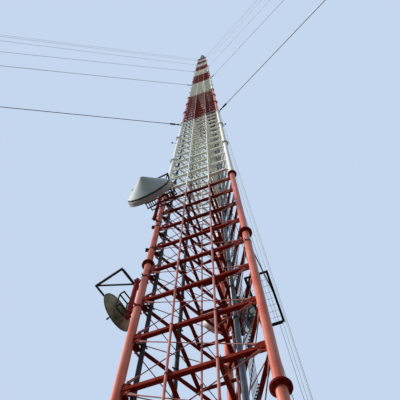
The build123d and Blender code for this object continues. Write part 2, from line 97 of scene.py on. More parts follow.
bpy.context.scene.view_settings.view_transform = "Standard"
world = bpy.data.worlds.new("sky")
world.use_nodes = True
bpy.context.scene.world = world
nodes, links = world.node_tree.nodes, world.node_tree.links
nodes.clear()
path = nodes.new("ShaderNodeLightPath")
seen = path.outputs["Is Camera Ray"]
for kind in ("Is Glossy Ray", "Is Transmission Ray"):
    either = nodes.new("ShaderNodeMath")
    either.operation = "MAXIMUM"
    links.new(seen, either.inputs[0])
    links.new(path.outputs[kind], either.inputs[1])
    seen = either.outputs[0]
choose = nodes.new("ShaderNodeMixShader")
links.new(seen, choose.inputs[0])
for socket, colour, strength in ((choose.inputs[1], FILL_COLOUR, FILL), (choose.inputs[2], SKY, 1.0)):
    background = nodes.new("ShaderNodeBackground")
    background.inputs["Color"].default_value = colour
    background.inputs["Strength"].default_value = strength
    links.new(background.outputs[0], socket)
output = nodes.new("ShaderNodeOutputWorld")
links.new(choose.outputs[0], output.inputs["Surface"])

sun = bpy.data.objects.new("sun", bpy.data.lights.new("sun", "SUN"))
sun.data.energy, sun.data.color, sun.data.angle = SUN, SUN_COLOUR, SUN_WIDTH
sun.rotation_euler = (math.pi / 2 - SUN_ELEVATION, 0, SUN_AZIMUTH + math.pi / 2)
bpy.context.scene.collection.objects.link(sun)
print("Sky and sun set")

# %% [markdown]
# ## Shapes as arrays
#
# Every surface below is a grid of points: rings[k, j] is corner j of ring k. One function closes
# such a grid into a skin, and the others only work out the points: a profile turned about Z, an
# outline pushed along Z, a tube along a path. Array modifiers or linked copies could repeat a piece
# too, but here one array of 4 by 4 places stamps it into every bay of the mast in a single step.

# %% Grids of points and their faces
def skin(rings, closed=False):
    """Quads join corners j and j + 1 of ring k with the same two of ring k + 1.

    The first and last rings are filled with one face each, or joined to each other when closed.
    """
    count, sides, _ = rings.shape
    index = np.arange(count * sides).reshape(count, sides)
    low = index if closed else index[:-1]
    high = np.roll(index, -1, 0) if closed else index[1:]
    quads = np.stack([low, np.roll(low, -1, 1), np.roll(high, -1, 1), high], -1)
    faces = [quads.reshape(-1, 4)]
    if not closed:
        faces += [index[:1, ::-1], index[-1:]]
    return rings.reshape(-1, 3), faces


def turned(profile, sides):
    """Profile (r, z) turned about Z: a corner is (r cos t, r sin t, z) for evenly spaced t."""
    profile = np.asarray(profile, float)
    t = 2 * np.pi * np.arange(sides) / sides
    r, z = profile[:, :1], profile[:, 1:]
    return skin(np.stack([r * np.cos(t), r * np.sin(t), z + 0 * t], -1))


def pushed(outline, length):
    """Outline (x, y), listed anticlockwise, pushed along Z from -length / 2 to length / 2."""
    outline = np.asarray(outline, float)
    z = np.array([-0.5, 0.5])[:, None] * length
    x, y = outline.T
    return skin(np.stack([x + 0 * z, y + 0 * z, z + 0 * x], -1))


def slab(x, y, z, bevel):
    """Block centred on the origin whose edges are cut by the bevel: four eight-sided rings."""
    def ring(inset, level):
        a, b = x / 2 - inset, y / 2 - inset
        half = np.array([(a, bevel - b), (a, b - bevel), (a - bevel, b), (bevel - a, b)])
        return np.column_stack([np.concatenate([half, -half]), np.full(8, level)])
    steps = [(bevel, -z / 2), (0, bevel - z / 2), (0, z / 2 - bevel), (bevel, z / 2)]
    return skin(np.array([ring(inset, level) for inset, level in steps]))


def angle_iron(size, wall, length):
    """L-shaped bar along Z: one leg on the +X side, the other on the -Y side."""
    h = size / 2
    return pushed([(-h, -h), (h, -h), (h, h), (h - wall, h), (h - wall, wall - h), (-h, wall - h)], length)


def pipe(points, radius, sides, closed=False):
    """Round tube along a path: ring k is centre + radius (cos t across + sin t over).

    Across and over are square to the path's direction; a fixed helper vector keeps them from turning.
    """
    points = np.asarray(points, float)
    ahead = np.roll(points, -1, 0) - np.roll(points, 1, 0)
    if not closed:
        ahead[0], ahead[-1] = points[1] - points[0], points[-1] - points[-2]
    ahead /= np.linalg.norm(ahead, axis=1, keepdims=True)
    level = abs(ahead[:, 2]).mean() < 0.7
    across = np.cross([0.31, 0.12, 0.94] if level else [0.9, 0.4, 0.1], ahead)
    across /= np.linalg.norm(across, axis=1, keepdims=True)
    over = np.cross(ahead, across)
    t = 2 * np.pi * np.arange(sides) / sides
    ring = np.cos(t)[:, None] * across[:, None] + np.sin(t)[:, None] * over[:, None]
    return skin(points[:, None] + radius * ring, closed)


print("A slab has", len(slab(1, 1, 1, 0.1)[0]), "corners")


# %% Joining and stamping
def joined(*shapes):
    """One shape from several: each face's corner numbers move up by the corners listed before it."""
    corners, faces, start = [], [], 0
    for points, groups in shapes:
        corners.append(points)
        faces += [group + start for group in groups]
        start += len(points)
    return np.concatenate(corners), faces


def stamped(shape, places):
    """One copy of a shape for each place: corner = turn x corner + shift, worked out all at once."""
    points, groups = shape
    places = np.reshape(places, (-1, 4, 4))
    moved = np.einsum("nij,vj->nvi", places[:, :3, :3], points) + places[:, None, :3, 3]
    steps = len(points) * np.arange(len(places))
    faces = [(g[None] + steps[:, None, None]).reshape(-1, g.shape[1]) for g in groups]
    return moved.reshape(-1, 3), faces


print("Two slabs have", len(joined(slab(1, 1, 1, 0.1), slab(2, 2, 2, 0.1))[0]), "corners")

# %% [markdown]
# ## Places
#
# A place is a 4 by 4 matrix: three columns say where a piece's own axes point, the fourth where its
# origin goes. Multiplying such arrays gives every bay of every face at once, without a loop.

# %% Places
def axes(origin, z, x):
    """Places whose Z runs along z and whose X is as near to x as it can be while square to Z."""
    origin, z, x = np.broadcast_arrays(*(np.atleast_2d(np.asarray(v, float)) for v in (origin, z, x)))
    z = z / np.linalg.norm(z, axis=1, keepdims=True)
    x = x - (x * z).sum(1, keepdims=True) * z
    x = x / np.linalg.norm(x, axis=1, keepdims=True)
    places = np.tile(np.eye(4), (len(z), 1, 1))
    places[:, :3, 0], places[:, :3, 1], places[:, :3, 2] = x, np.cross(z, x), z
    places[:, :3, 3] = origin
    return places


def turn(azimuths):
    """Turns about the mast's axis, by azimuths in degrees."""
    a = np.radians(np.atleast_1d(np.asarray(azimuths, float)))
    return axes((0, 0, 0), (0, 0, 1), np.stack([np.cos(a), np.sin(a), 0 * a], -1))


def shift(points):
    """Moves without a turn, one for each (x, y, z)."""
    points = np.atleast_2d(np.asarray(points, float))
    places = np.tile(np.eye(4), (len(points), 1, 1))
    places[:, :3, 3] = points
    return places


def lift(heights):
    """Moves straight up, one for each height."""
    heights = np.atleast_1d(np.asarray(heights, float))
    return shift(np.stack([0 * heights, 0 * heights, heights], -1))


def each(first, second):
    """Every place of the first array followed by every place of the second."""
    first, second = (np.reshape(places, (-1, 4, 4)) for places in (first, second))
    return (first[:, None] @ second[None]).reshape(-1, 4, 4)


def stretched(places, lengths):
    """The same places with Z made longer, so that a shape of length 1 gets the lengths given."""
    longer = places.copy()
    longer[:, :3, 2] *= np.reshape(lengths, (-1, 1))
    return longer


OUTWARDS = axes((0, 0, 0), (1, 0, 0), (0, 1, 0))
SIDEWAYS = axes((0, 0, 0), (0, -1, 0), (1, 0, 0))
print("Three turns and four heights make", len(each(turn([0, 120, 240]), lift(range(4)))), "places")

# %% [markdown]
# ## Putting a shape into the scene
#
# The arrays go into a mesh in one call each, and a piece is then given its material, the body it
# rides on and the plain solids that it stands for. Edges sharper than the given angle
# stay crisp, the rest is shaded smooth.

# %% Meshes and pieces
triangle_counts = []


def mesh_object(name, shape, material, crease=35.0):
    """A mesh object at the origin, from one array of corners and arrays of faces."""
    points, groups = shape
    sizes = np.concatenate([np.full(len(g), g.shape[1]) for g in groups])
    mesh = bpy.data.meshes.new(name)
    mesh.vertices.add(len(points))
    mesh.vertices.foreach_set("co", points.astype(np.float32).ravel())
    mesh.loops.add(int(sizes.sum()))
    mesh.loops.foreach_set("vertex_index", np.concatenate([g.ravel() for g in groups]))
    mesh.polygons.add(len(sizes))
    mesh.polygons.foreach_set("loop_start", np.concatenate([[0], np.cumsum(sizes)[:-1]]))
    mesh.update(calc_edges=True)
    mesh.validate()
    mesh.shade_smooth()
    mesh.set_sharp_from_angle(angle=math.radians(crease))
    mesh.materials.append(material)
    made = bpy.data.objects.new(name, mesh)
    bpy.context.scene.collection.objects.link(made)
    return made


def piece(name, shape, material, replaces=(), crease=35.0):
    """A mesh object that is fitted out as one piece of the mast."""
    made = mesh_object(name, shape, material, crease)
    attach(made, "root")
    if replaces:
        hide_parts(*replaces)
    triangle_counts.append(sum(len(g) * (g.shape[1] - 2) for g in shape[1]))
    print(f"{name}: {triangle_counts[-1]} triangles")
    return made


# %% [markdown]
# ## Paint and weather
#
# All the steel was brushed with the same two paints and has stood in the rain for years. A cloud
# pattern fades the colour, a pattern stretched along Z leaves the streaks, and fine specks show
# where the primer comes through. Each pattern reads Object coordinates, so it is the same size on
# every piece, and the same fine noise lifts the surface a little. The one red paint is set in three
# strengths: the legs' red, a much darker red on the bars and their fittings that is painted shade,
# and a lighter pink on the rods that is painted light.

# %% Material helper
def surface(name, base, second, dirt, scale, streak=0.35, specks=0.15, rough=(0.45, 0.7),
            metallic=0.0, bump=0.15, depth=0.0004, shine=0.2):
    """Base fades to second by a cloud noise; dirt comes in by a streaked noise and by fine specks."""
    material = bpy.data.materials.new(name)
    material.use_nodes = True
    tree = material.node_tree
    new, link = tree.nodes.new, tree.links.new
    shader = tree.nodes["Principled BSDF"]
    shader.inputs["Metallic"].default_value = metallic
    shader.inputs["Specular IOR Level"].default_value = shine
    coords = new("ShaderNodeTexCoord")

    def noise(size, detail, stretch=1.0):
        mapping = new("ShaderNodeMapping")
        mapping.inputs["Scale"].default_value = (1.0, 1.0, stretch)
        texture = new("ShaderNodeTexNoise")
        texture.inputs["Scale"].default_value = size
        texture.inputs["Detail"].default_value = detail
        link(coords.outputs["Object"], mapping.inputs["Vector"])
        link(mapping.outputs["Vector"], texture.inputs["Vector"])
        return texture.outputs["Fac"]

    def ramp(value, span, result):
        node = new("ShaderNodeMapRange")
        for socket, number in zip(("From Min", "From Max", "To Min", "To Max"), (*span, *result)):
            node.inputs[socket].default_value = number
        link(value, node.inputs["Value"])
        return node.outputs["Result"]

    def blend(amount, first, other):
        node = new("ShaderNodeMix")
        node.data_type = "RGBA"
        link(amount, node.inputs["Factor"])
        for socket, colour in ((node.inputs["A"], first), (node.inputs["B"], other)):
            if isinstance(colour, tuple):
                socket.default_value = (*colour, 1.0)
            else:
                link(colour, socket)
        return node.outputs["Result"]

    cloud, fine = noise(scale, 4.0), noise(scale * 14, 3.0)
    colour = blend(ramp(cloud, (0.35, 0.65), (0, 1)), base, second)
    colour = blend(ramp(noise(scale * 5, 3.0, 0.06), (0.48, 0.75), (0, streak)), colour, dirt)
    colour = blend(ramp(fine, (0.62, 0.72), (0, specks)), colour, dirt)
    link(colour, shader.inputs["Base Color"])
    link(ramp(cloud, (0, 1), rough), shader.inputs["Roughness"])
    relief = new("ShaderNodeBump")
    relief.inputs["Strength"].default_value = bump
    relief.inputs["Distance"].default_value = depth
    link(fine, relief.inputs["Height"])
    link(relief.outputs["Normal"], shader.inputs["Normal"])
    return material


# %% Paints
leg_red = surface("leg_red_paint", (0.6, 0.088, 0.042), (0.68, 0.2, 0.13), (0.175, 0.018, 0.012),
                  18, 0.5, rough=(0.35, 0.5), shine=0.3)
# The bars' red is the legs' red paint made much darker: painted shade for the bars' shaded sides, also on
# plates, struts, shoes and poles.
red_bar_shade_paint = surface("red_bar_painted_shade", (0.195, 0.012, 0.008), (0.277, 0.032, 0.018),
                  (0.038, 0.005, 0.005), 25, 0.45, shine=0.03)
# The rods' pink is the red paint made lighter: painted light where the sun catches the rods, also on the red
# guide tubes.
rod_lit_pink = surface("pink_rod_painted_light", (0.42, 0.12, 0.1), (0.62, 0.27, 0.24), (0.15, 0.03, 0.025), 40, 0.4)
leg_white = surface("leg_white_paint", (0.92, 0.92, 0.89), (0.86, 0.86, 0.8), (0.52, 0.5, 0.42), 18, 0.3)
bar_white = surface("bar_white_paint", (0.9, 0.95, 0.8), (0.95, 0.96, 0.87), (0.46, 0.5, 0.37), 25)
dark_steel = surface("dark_steel_paint", (0.026, 0.026, 0.03), (0.045, 0.041, 0.041),
                     (0.09, 0.053, 0.038), 40)
# The rim band's dark green is painted shade: the shadow line between the radome's cover and its drum.
rim_shade_green = surface("rim_band_shade_paint", (0.075, 0.098, 0.083), (0.112, 0.135, 0.12),
                    (0.075, 0.075, 0.068), 20)
teal_metal = surface("teal_dish_paint", (0.098, 0.15, 0.165), (0.15, 0.21, 0.217),
                     (0.053, 0.068, 0.068), 26)
print("Paints:", len(bpy.data.materials))

# %% Bare metal, rubber, plastic and concrete
black_rubber = surface("black_cable_jacket", (0.015, 0.017, 0.022), (0.026, 0.03, 0.038),
                       (0.053, 0.053, 0.053), 30)
grey_pipe = surface("grey_pipe_metal", (0.056, 0.075, 0.098), (0.105, 0.128, 0.158),
                    (0.03, 0.038, 0.045), 22, metallic=0.25, rough=(0.3, 0.5), shine=0.5)
rope_steel = surface("guy_rope_steel", (0.12, 0.128, 0.143), (0.18, 0.188, 0.203),
                     (0.053, 0.053, 0.053), 60, metallic=0.6, rough=(0.4, 0.6))
zinc = surface("galvanised_steel", (0.315, 0.323, 0.33), (0.39, 0.398, 0.405),
               (0.195, 0.188, 0.173), 60, metallic=0.7, rough=(0.35, 0.6))
olive_metal = surface("olive_dish_metal", (0.15, 0.188, 0.105), (0.42, 0.315, 0.21),
                      (0.038, 0.038, 0.026), 34, 0.9, 0.5, metallic=0.2)
radome_cloth = surface("radome_skin", (0.47, 0.52, 0.52), (0.4, 0.47, 0.49), (0.22, 0.26, 0.27),
                       12, 0.3, 0.1, rough=(0.35, 0.5))
drum_cloth = surface("drum_skin", (0.42, 0.398, 0.405), (0.495, 0.48, 0.488),
                     (0.225, 0.225, 0.225), 14, 0.4)
pale_plastic = surface("panel_pale_plastic", (0.22, 0.22, 0.21), (0.27, 0.27, 0.26),
                       (0.15, 0.15, 0.14), 16)
panel_plastic = surface("panel_grey_plastic", (0.128, 0.15, 0.18), (0.165, 0.188, 0.217),
                        (0.075, 0.083, 0.09), 16)
concrete = surface("cast_concrete", (0.375, 0.367, 0.338), (0.315, 0.307, 0.277),
                   (0.188, 0.18, 0.158), 14, 0.4, 0.4, rough=(0.8, 0.95), bump=0.5, depth=0.002)
print("Finishes:", len(bpy.data.materials))

# %% [markdown]
# ## Sizes of the lattice
#
# The lattice repeats itself: a bay of 0.15, four bays to a leg section, three sections to a colour
# band and eleven bands. Heights of all joints and cross bars follow from these few numbers. Legs,
# rings, bars and rods all come as one red and one white piece, and one function makes both.

# %% Lattice sizes
FACE_WIDTH = 0.25
BAY = 0.15
SECTION = 4 * BAY
BAND = 3 * SECTION
BANDS = 11
COLUMN_BASE = 0.15
COLUMN_TOP = COLUMN_BASE + BAND * BANDS
FIRST_BAR = 0.105
LEG_RADIUS = FACE_WIDTH / math.sqrt(3)
FACE_RADIUS = LEG_RADIUS / 2
LEG_FLATS = 0.0165
LEG_EDGE = LEG_RADIUS + LEG_FLATS / math.sqrt(3)
TUBE, TUBE_SIDES = 0.00845, 28
BAR, BAR_WALL = 0.008, 0.0010
LEG_AZIMUTHS = {"left": 210.0, "right": 330.0, "back": 90.0}
FACE_AZIMUTHS = {"front": 270.0, "left": 150.0, "right": 30.0}
starts = {"red": COLUMN_BASE + BAND * np.arange(0, BANDS, 2),
          "white": COLUMN_BASE + BAND * np.arange(1, BANDS, 2)}
levels = {colour: (low[:, None] + FIRST_BAR + BAY * np.arange(12)).ravel()
          for colour, low in starts.items()}
joints = {colour: (low[:, None] + SECTION * np.arange(3)).ravel() for colour, low in starts.items()}
all_levels = np.concatenate([levels["red"], levels["white"]])
at_leg_plane = turn(list(LEG_AZIMUTHS.values()))
legs_at = at_leg_plane @ shift((LEG_RADIUS, 0, 0))
faces_at = turn(list(FACE_AZIMUTHS.values()))
print("Cross bar levels:", {colour: len(z) for colour, z in levels.items()})

# %% Pieces in two colours
leg_paint = {"red": leg_red, "white": leg_white}
# The red rings take the bars' darker red: painted shade for their shaded undersides.
shaded_red_rings_paint = {"red": red_bar_shade_paint, "white": leg_white}
bar_paint = {"red": red_bar_shade_paint, "white": bar_white}
rod_paint = {"red": rod_lit_pink, "white": leg_white}


def striped(name, shape, at, heights, paint, replaces=()):
    """A red and a white piece: the shape at each place, lifted to each of that colour's heights.

    The star in a name is where the colour's name goes.
    """
    for colour in paint:
        piece(name.replace("*", colour), stamped(shape, each(at, lift(heights[colour]))),
              paint[colour], [node.replace("*", colour) for node in replaces])


print("Paints of the bars:", [paint.name for paint in bar_paint.values()])

# %% [markdown]
# ## Legs
#
# Each leg is a chain of round tubes with a welded ring at both ends, and the rings of two tubes are
# bolted together. A turned profile is the easiest way to such a form. The tubes of one colour band
# are one profile, and the two rings of a joint, with their welds and the thin seam between them,
# are another, stamped at every joint. A pair of rings has the colour of the leg section below it.
# In the red bands the rings and their bolts take the bars' darker red instead of the legs' red, as
# painted shade for their shaded undersides.

# %% Leg tubes and their rings
RING = 0.0160
RING_PLATE = 0.0024
SEAM = 0.0002
WELD_OUT, WELD_UP = 0.0018, 0.0026
RING_CUT, SEAM_IN = 0.0004, 0.0016

tube = turned([(TUBE, 0.0), (TUBE, BAND)], TUBE_SIDES)
for side, at_leg in zip(LEG_AZIMUTHS, legs_at):
    striped(f"{side}_leg_*_tubes", tube, at_leg, starts, leg_paint, [f"{side}_leg_*"])

lower_ring = [(TUBE, -WELD_UP), (TUBE + WELD_OUT, 0), (RING - RING_CUT, 0), (RING, RING_CUT),
              (RING, RING_PLATE - RING_CUT), (RING - RING_CUT, RING_PLATE), (RING - SEAM_IN, RING_PLATE)]
upper_ring = [(r, 2 * RING_PLATE + SEAM - z) for r, z in lower_ring[::-1]]
ring_pair = turned(lower_ring + upper_ring, TUBE_SIDES)
ring_levels = {
    "red": np.concatenate([[COLUMN_BASE], np.setdiff1d(joints["red"], starts["red"]), starts["white"]]),
    "white": np.concatenate([np.setdiff1d(joints["white"], starts["white"]), starts["red"][1:]]),
}
striped("leg_rings_*", ring_pair, legs_at, ring_levels, shaded_red_rings_paint,
        [f"{side}_leg_*" for side in LEG_AZIMUTHS])

# %% Ring bolts
def hexagon(size, height):
    """Bolt head: a six-sided block with its upper rim cut, standing on z = 0."""
    cut = 0.0002
    return turned([(size, 0), (size, height - cut), (size - 2 * cut, height)], 6)


HEAD, NUT_HEIGHT = 0.0019, 0.0018
ring_bolt = joined(
    stamped(hexagon(HEAD, 0.0016), lift(2 * RING_PLATE + SEAM)),
    stamped(hexagon(HEAD, NUT_HEIGHT), axes((0, 0, 0), (0, 0, -1), (1, 0, 0))),
    stamped(turned([(0.0010, -0.0010), (0.0010, 0)], 6), lift(-NUT_HEIGHT)),
)
bolt_circle = turn(np.arange(8) * 45.0 + 22.5) @ shift((RING - 0.0034, 0, 0))
striped("leg_ring_bolts_*", stamped(ring_bolt, bolt_circle), legs_at, ring_levels, shaded_red_rings_paint)

# %% [markdown]
# ## Cross bars and their plates
#
# The horizontals are rolled angles, bolted at both ends to plates that are welded to the legs. From
# below an angle shows two strips, the lit upright leg and the shaded level one, and that is what
# makes the lattice look like steel and not like sticks. An L-shaped outline pushed along the bar
# is all that takes, stamped into every bay.

# %% Cross bars
cross_bar = stamped(angle_iron(BAR, BAR_WALL, FACE_WIDTH - 2 * TUBE), shift((FACE_RADIUS, 0, 0)) @ SIDEWAYS)
for name, azimuth in FACE_AZIMUTHS.items():
    striped(f"{name}_cross_bars_*", cross_bar, turn(azimuth), levels, bar_paint, [f"{name}_face_*"])

# %% Plates at the ends of the bars
PLATE_REACH, PLATE_HALF, PLATE_WALL, PLATE_CUT = 0.016, 0.015, 0.0009, 0.006
PLATE_OUT = 0.0023


def end_plate():
    """Plate in the plane of the face, with its outer corners cut, and two bolts through it."""
    a, h, cut = PLATE_REACH, PLATE_HALF, PLATE_CUT
    outline = [(0, -h), (a - cut, -h), (a, cut - h), (a, h - cut), (a - cut, h), (0, h)]
    heads = stamped(hexagon(0.0013, 0.0010), shift([(0.0016, 0.005, 0), (0.0016, 0.012, 0)]) @ OUTWARDS)
    return joined(stamped(pushed(outline, PLATE_WALL), OUTWARDS), heads)


left_end = shift((FACE_RADIUS + PLATE_OUT, TUBE - 0.001 - FACE_WIDTH / 2, 0))
left_plate = stamped(end_plate(), left_end)
points, groups = stamped(left_plate, np.diag([1.0, -1.0, 1.0, 1.0]))
right_plate = points, [g[:, ::-1] for g in groups]
striped("leg_plates_*", joined(left_plate, right_plate), faces_at, levels, bar_paint)

# %% [markdown]
# ## Tie rods
#
# Two thin rods cross in every bay, from corner to corner, and pull the lattice stiff. Each ends in a
# tapered fork that is pinned to the corner plate. The sun catches them, and their red paint is drawn
# lighter, in pink, as painted light. There are hundreds, so rod and forks are one profile of six
# sides, turned about the line between the two pins. The two rods pass each other on either side of
# the plates.

# %% Crossed rods of one bay
ROD, FORK, PIN = 0.0009, 0.0026, 0.0013
PIN_IN, PIN_UP = 0.0105, 0.0120
ROD_APART = 0.0018


def tie_rod(direction):
    """Rod with a tapered fork at each end: one profile turned about the line between the two pins."""
    half = FACE_WIDTH / 2 - TUBE - PIN_IN
    out = FACE_RADIUS + PLATE_OUT + direction * ROD_APART
    start = np.array([out, -direction * half, PIN_UP])
    end = np.array([out, direction * half, BAY - PIN_UP])
    fork = [(PIN, -0.004), (FORK, -0.002), (FORK, 0.009), (ROD + 0.0002, 0.024)]
    profile = fork + [(r, np.linalg.norm(end - start) - s) for r, s in fork[::-1]]
    rod = stamped(turned(profile, 6), axes(start, end - start, (1, 0, 0)))
    pin = turned([(PIN, -0.0035), (PIN, 0.0035)], 6)
    return joined(rod, stamped(pin, axes([start, end], (1, 0, 0), (0, 1, 0))))


striped("tie_rods_*", joined(tie_rod(1), tie_rod(-1)), faces_at, levels, rod_paint)

# %% [markdown]
# ## Hoist shaft
#
# Inside the column a rectangular shaft runs from the ground to the top. At each level a U-shaped
# frame of angles lies on the cross bars, and four guide tubes are clamped to the frames. The frame
# is three pushed L-shapes. A guide is drawn in lengths, each with a sleeve round its foot, so that
# a length can take the colour of its band.

# %% Shaft frames
SHAFT = FACE_WIDTH / 3


def shaft_frame():
    """Two struts from the front face to the rear bar and the rear bar itself, on top of the cross bars."""
    side = angle_iron(BAR, BAR_WALL, 2 * FACE_RADIUS + BAR)
    rear = angle_iron(BAR, BAR_WALL, SHAFT - BAR)
    return joined(stamped(side, axes((-SHAFT / 2, 0, BAR), (0, 1, 0), (-1, 0, 0))),
                  stamped(side, axes((SHAFT / 2, 0, BAR), (0, -1, 0), (1, 0, 0))),
                  stamped(rear, axes((0, FACE_RADIUS, BAR), (1, 0, 0), (0, 1, 0))))


striped("shaft_struts_*", shaft_frame(), turn(0.0), levels, bar_paint, ["shaft_frames_*"])

# %% Guide tubes with their clamps
GUIDE = 0.0024
BESIDE, REAR_IN = BAR / 2 + GUIDE, 0.00707
MARGIN = 0.02
front_y, rear_y = -FACE_RADIUS - BESIDE, FACE_RADIUS - REAR_IN
guides_at = shift([(-SHAFT / 2, front_y, 0), (SHAFT / 2, front_y, 0),
                   (BESIDE - SHAFT / 2, rear_y, 0), (SHAFT / 2 - BESIDE, rear_y, 0)])


def sleeve(radius, wide, z):
    """Profile points of a coupling sleeve, 0.01 long, that begins at z."""
    return [(radius, z), (wide, z + 0.0008), (wide, z + 0.0092), (radius, z + 0.01)]


def guide_length(length):
    """One length of guide tube, standing on z = 0, with a coupling sleeve round its lower end."""
    return turned(sleeve(GUIDE, GUIDE + 0.0004, 0) + [(GUIDE, length)], 12)


for colour, z in joints.items():
    whole = z[(z > COLUMN_BASE) & (z < COLUMN_TOP - SECTION - BAY)]
    tubes = [stamped(guide_length(SECTION), each(guides_at, lift(whole)))]
    if colour == "red":
        ends = [COLUMN_BASE + MARGIN, COLUMN_TOP - SECTION]
        tubes.append(stamped(guide_length(SECTION - MARGIN), each(guides_at, lift(ends))))
    # The red guide lengths take the rods' lighter pink, which is painted light.
    piece(f"shaft_guide_tubes_{colour}", joined(*tubes), rod_paint[colour], ["shaft_guides"])

CLAMP, HALF = GUIDE + 0.0009, 0.0012
guide_clamp = turned([(GUIDE, -HALF), (CLAMP, -HALF), (CLAMP, HALF), (GUIDE, HALF)], 8)
striped("guide_clamps_*", guide_clamp, guides_at @ lift([0, 0, BAR, BAR]), levels, bar_paint)

# %% [markdown]
# ## Feeders
#
# The cables run up the inner side of the faces and are held at every cross bar: two thick black
# ones on the left face, a grey pipe and a row of six thin ones on the right face. A bevelled curve
# would do for a cable, but a straight one with sleeves is simpler as a turned profile. A band clamp
# is a short turned ring with a bolted ear on either side; each thin cable sits in a small clip.

# %% Clamps
def ironwork(name, shape, replaces=()):
    """A piece in the dark steel that clamps, brackets and ice shields share."""
    return piece(name, shape, dark_steel, replaces)


def band_clamp(radius, height, ear):
    """Ring round a cable with an ear on either side and a bolt through each ear."""
    inner, outer, half = radius - 0.0002, radius + 0.0008, height / 2
    band = turned([(inner, -half), (outer, -half), (outer, half), (inner, half)], 16)
    middles = shift([(0, radius + ear / 2, 0), (0, -radius - ear / 2, 0)])
    ears = stamped(slab(ear, 0.0016, height, 0.0002), middles @ turn(90.0))
    bolts = stamped(hexagon(0.0011, 0.0009), middles @ axes((-0.0008, 0, 0), (-1, 0, 0), (0, 1, 0)))
    return joined(band, ears, bolts)


print("A band clamp has", len(band_clamp(TUBE, 0.005, 0.005)[0]), "corners")

# %% Cables
RUN = COLUMN_TOP - COLUMN_BASE - 2 * MARGIN
BLACK, CONDUIT = 0.0093, 0.012


def sleeved_tube(radius, sides, wide, step):
    """Tube from foot to top with a coupling sleeve at every step, as one turned profile."""
    humps = [sleeve(radius, wide, z) for z in np.arange(step, RUN - step / 4, step)]
    return turned([(radius, 0)] + sum(humps, []) + [(radius, RUN)], sides)


def on_face(face, share, size, from_left):
    """Place on a face's inner side, a share of the way from one of its legs."""
    along = (share - 0.5) * FACE_WIDTH * (-1 if from_left else 1)
    return turn(FACE_AZIMUTHS[face]) @ shift((FACE_RADIUS - (BAR + size) / 2, along, 0))


def from_foot(shape, at):
    """A cable at each place, standing a little above the column's base."""
    return stamped(shape, each(at, lift(COLUMN_BASE + MARGIN)))


def at_bars(shape, at):
    """A clamp at each place and each level of the cross bars."""
    return stamped(shape, each(at, lift(all_levels)))


black_at = np.concatenate([on_face("left", share, BLACK, True) for share in (0.10, 0.41)])
piece("black_feeder_cables", from_foot(sleeved_tube(BLACK / 2, 16, 0.0052, 2 * SECTION), black_at),
      black_rubber, ["black_feeders"], 50)
ironwork("black_feeder_clamps", at_bars(band_clamp(BLACK / 2, 0.004, 0.005), black_at))
pipe_at = on_face("right", 0.50, CONDUIT, False)
piece("grey_conduit_pipe", from_foot(sleeved_tube(CONDUIT / 2, 24, 0.0068, SECTION), pipe_at),
      grey_pipe, ["grey_conduit"], 50)
ironwork("grey_conduit_clamps", at_bars(band_clamp(CONDUIT / 2, 0.005, 0.005), pipe_at))

# %% Row of thin feeders and their clips
ROW_DEPTH, PITCH = 0.0035, 0.0065
THIN = 0.0006
thin_at = np.concatenate([on_face("right", 0.28 + i * PITCH / FACE_WIDTH, ROW_DEPTH, False)
                          for i in range(6)])
piece("thin_feeder_cables", from_foot(turned([(THIN, 0), (THIN, RUN)], 8), thin_at),
      black_rubber, ["feeder_bundle"], 50)
ironwork("thin_feeder_clips", at_bars(slab(0.0030, 0.0020, 0.0022, 0.0003), thin_at @ shift((0.0008, 0, 0))))

# %% [markdown]
# ## Guys
#
# Three guys run down from each leg to an inner anchor and three to an outer one. Their ends are
# worked out in the plane of a leg, in radius and height: the lug stands out from the leg towards
# the anchor, and at the ground the three guys are fanned out over one plate. The rope's lay is a
# wave that winds along it, so the rope carries its own UV map: once around, and metres along.

# %% Lines of the guys
LUG_REACH, LUG_DROP = 0.018, 0.04
ANCHORS = ((6.8, np.array([2, 4, 6])), (9.0, np.array([8, 10, 11])))
FAN = 0.014
PLATE_HEIGHT = 0.095


def lug_heights(top_bands):
    """The lugs sit a little under the tops of the given bands."""
    return COLUMN_BASE + BAND * top_bands - LUG_DROP


def guy_lines(anchor_radius, top_bands):
    """Ends of three guys in (radius, height), the lug's end first, and their unit directions."""
    start = np.column_stack([np.full(3, LEG_EDGE), lug_heights(top_bands)])
    mean = math.atan2(start[1, 1] - PLATE_HEIGHT, anchor_radius - start[1, 0])
    offset = FAN * (np.arange(3) - 1)[:, None]
    end = np.array([anchor_radius, PLATE_HEIGHT]) + offset * [math.sin(mean), math.cos(mean)]
    way = (end - start) / np.linalg.norm(end - start, axis=1, keepdims=True)
    return start + LUG_REACH * way, end, way


lines = [np.concatenate(group) for group in zip(*(guy_lines(r, tops) for r, tops in ANCHORS))]
upper, lower, way = (np.column_stack([g[:, 0], 0 * g[:, 0], g[:, 1]]) for g in lines)
guy_lengths = np.linalg.norm(lower - upper, axis=1)
print("Guy lengths:", np.round(guy_lengths, 2))

# %% Lay of the ropes
STRANDS = 6
TURNS_PER_METRE = 36.0


def wind_strands(material):
    """The bump follows a wave that winds round the rope: u + turns x v, folded once for each strand."""
    new, link = material.node_tree.nodes.new, material.node_tree.links.new
    uv = new("ShaderNodeUVMap")
    split = new("ShaderNodeSeparateXYZ")
    link(uv.outputs["UV"], split.inputs["Vector"])
    lay = new("ShaderNodeMath")
    lay.operation = "MULTIPLY_ADD"
    lay.inputs[1].default_value = TURNS_PER_METRE
    link(split.outputs["Y"], lay.inputs[0])
    link(split.outputs["X"], lay.inputs[2])
    strands = new("ShaderNodeMath")
    strands.operation = "PINGPONG"
    strands.inputs[1].default_value = 0.5 / STRANDS
    link(lay.outputs[0], strands.inputs[0])
    relief = next(n for n in material.node_tree.nodes if n.type == "BUMP")
    relief.inputs["Strength"].default_value = 0.8
    relief.inputs["Distance"].default_value = 0.004
    link(strands.outputs[0], relief.inputs["Height"])


wind_strands(rope_steel)
print("Strands wound round", rope_steel.name)

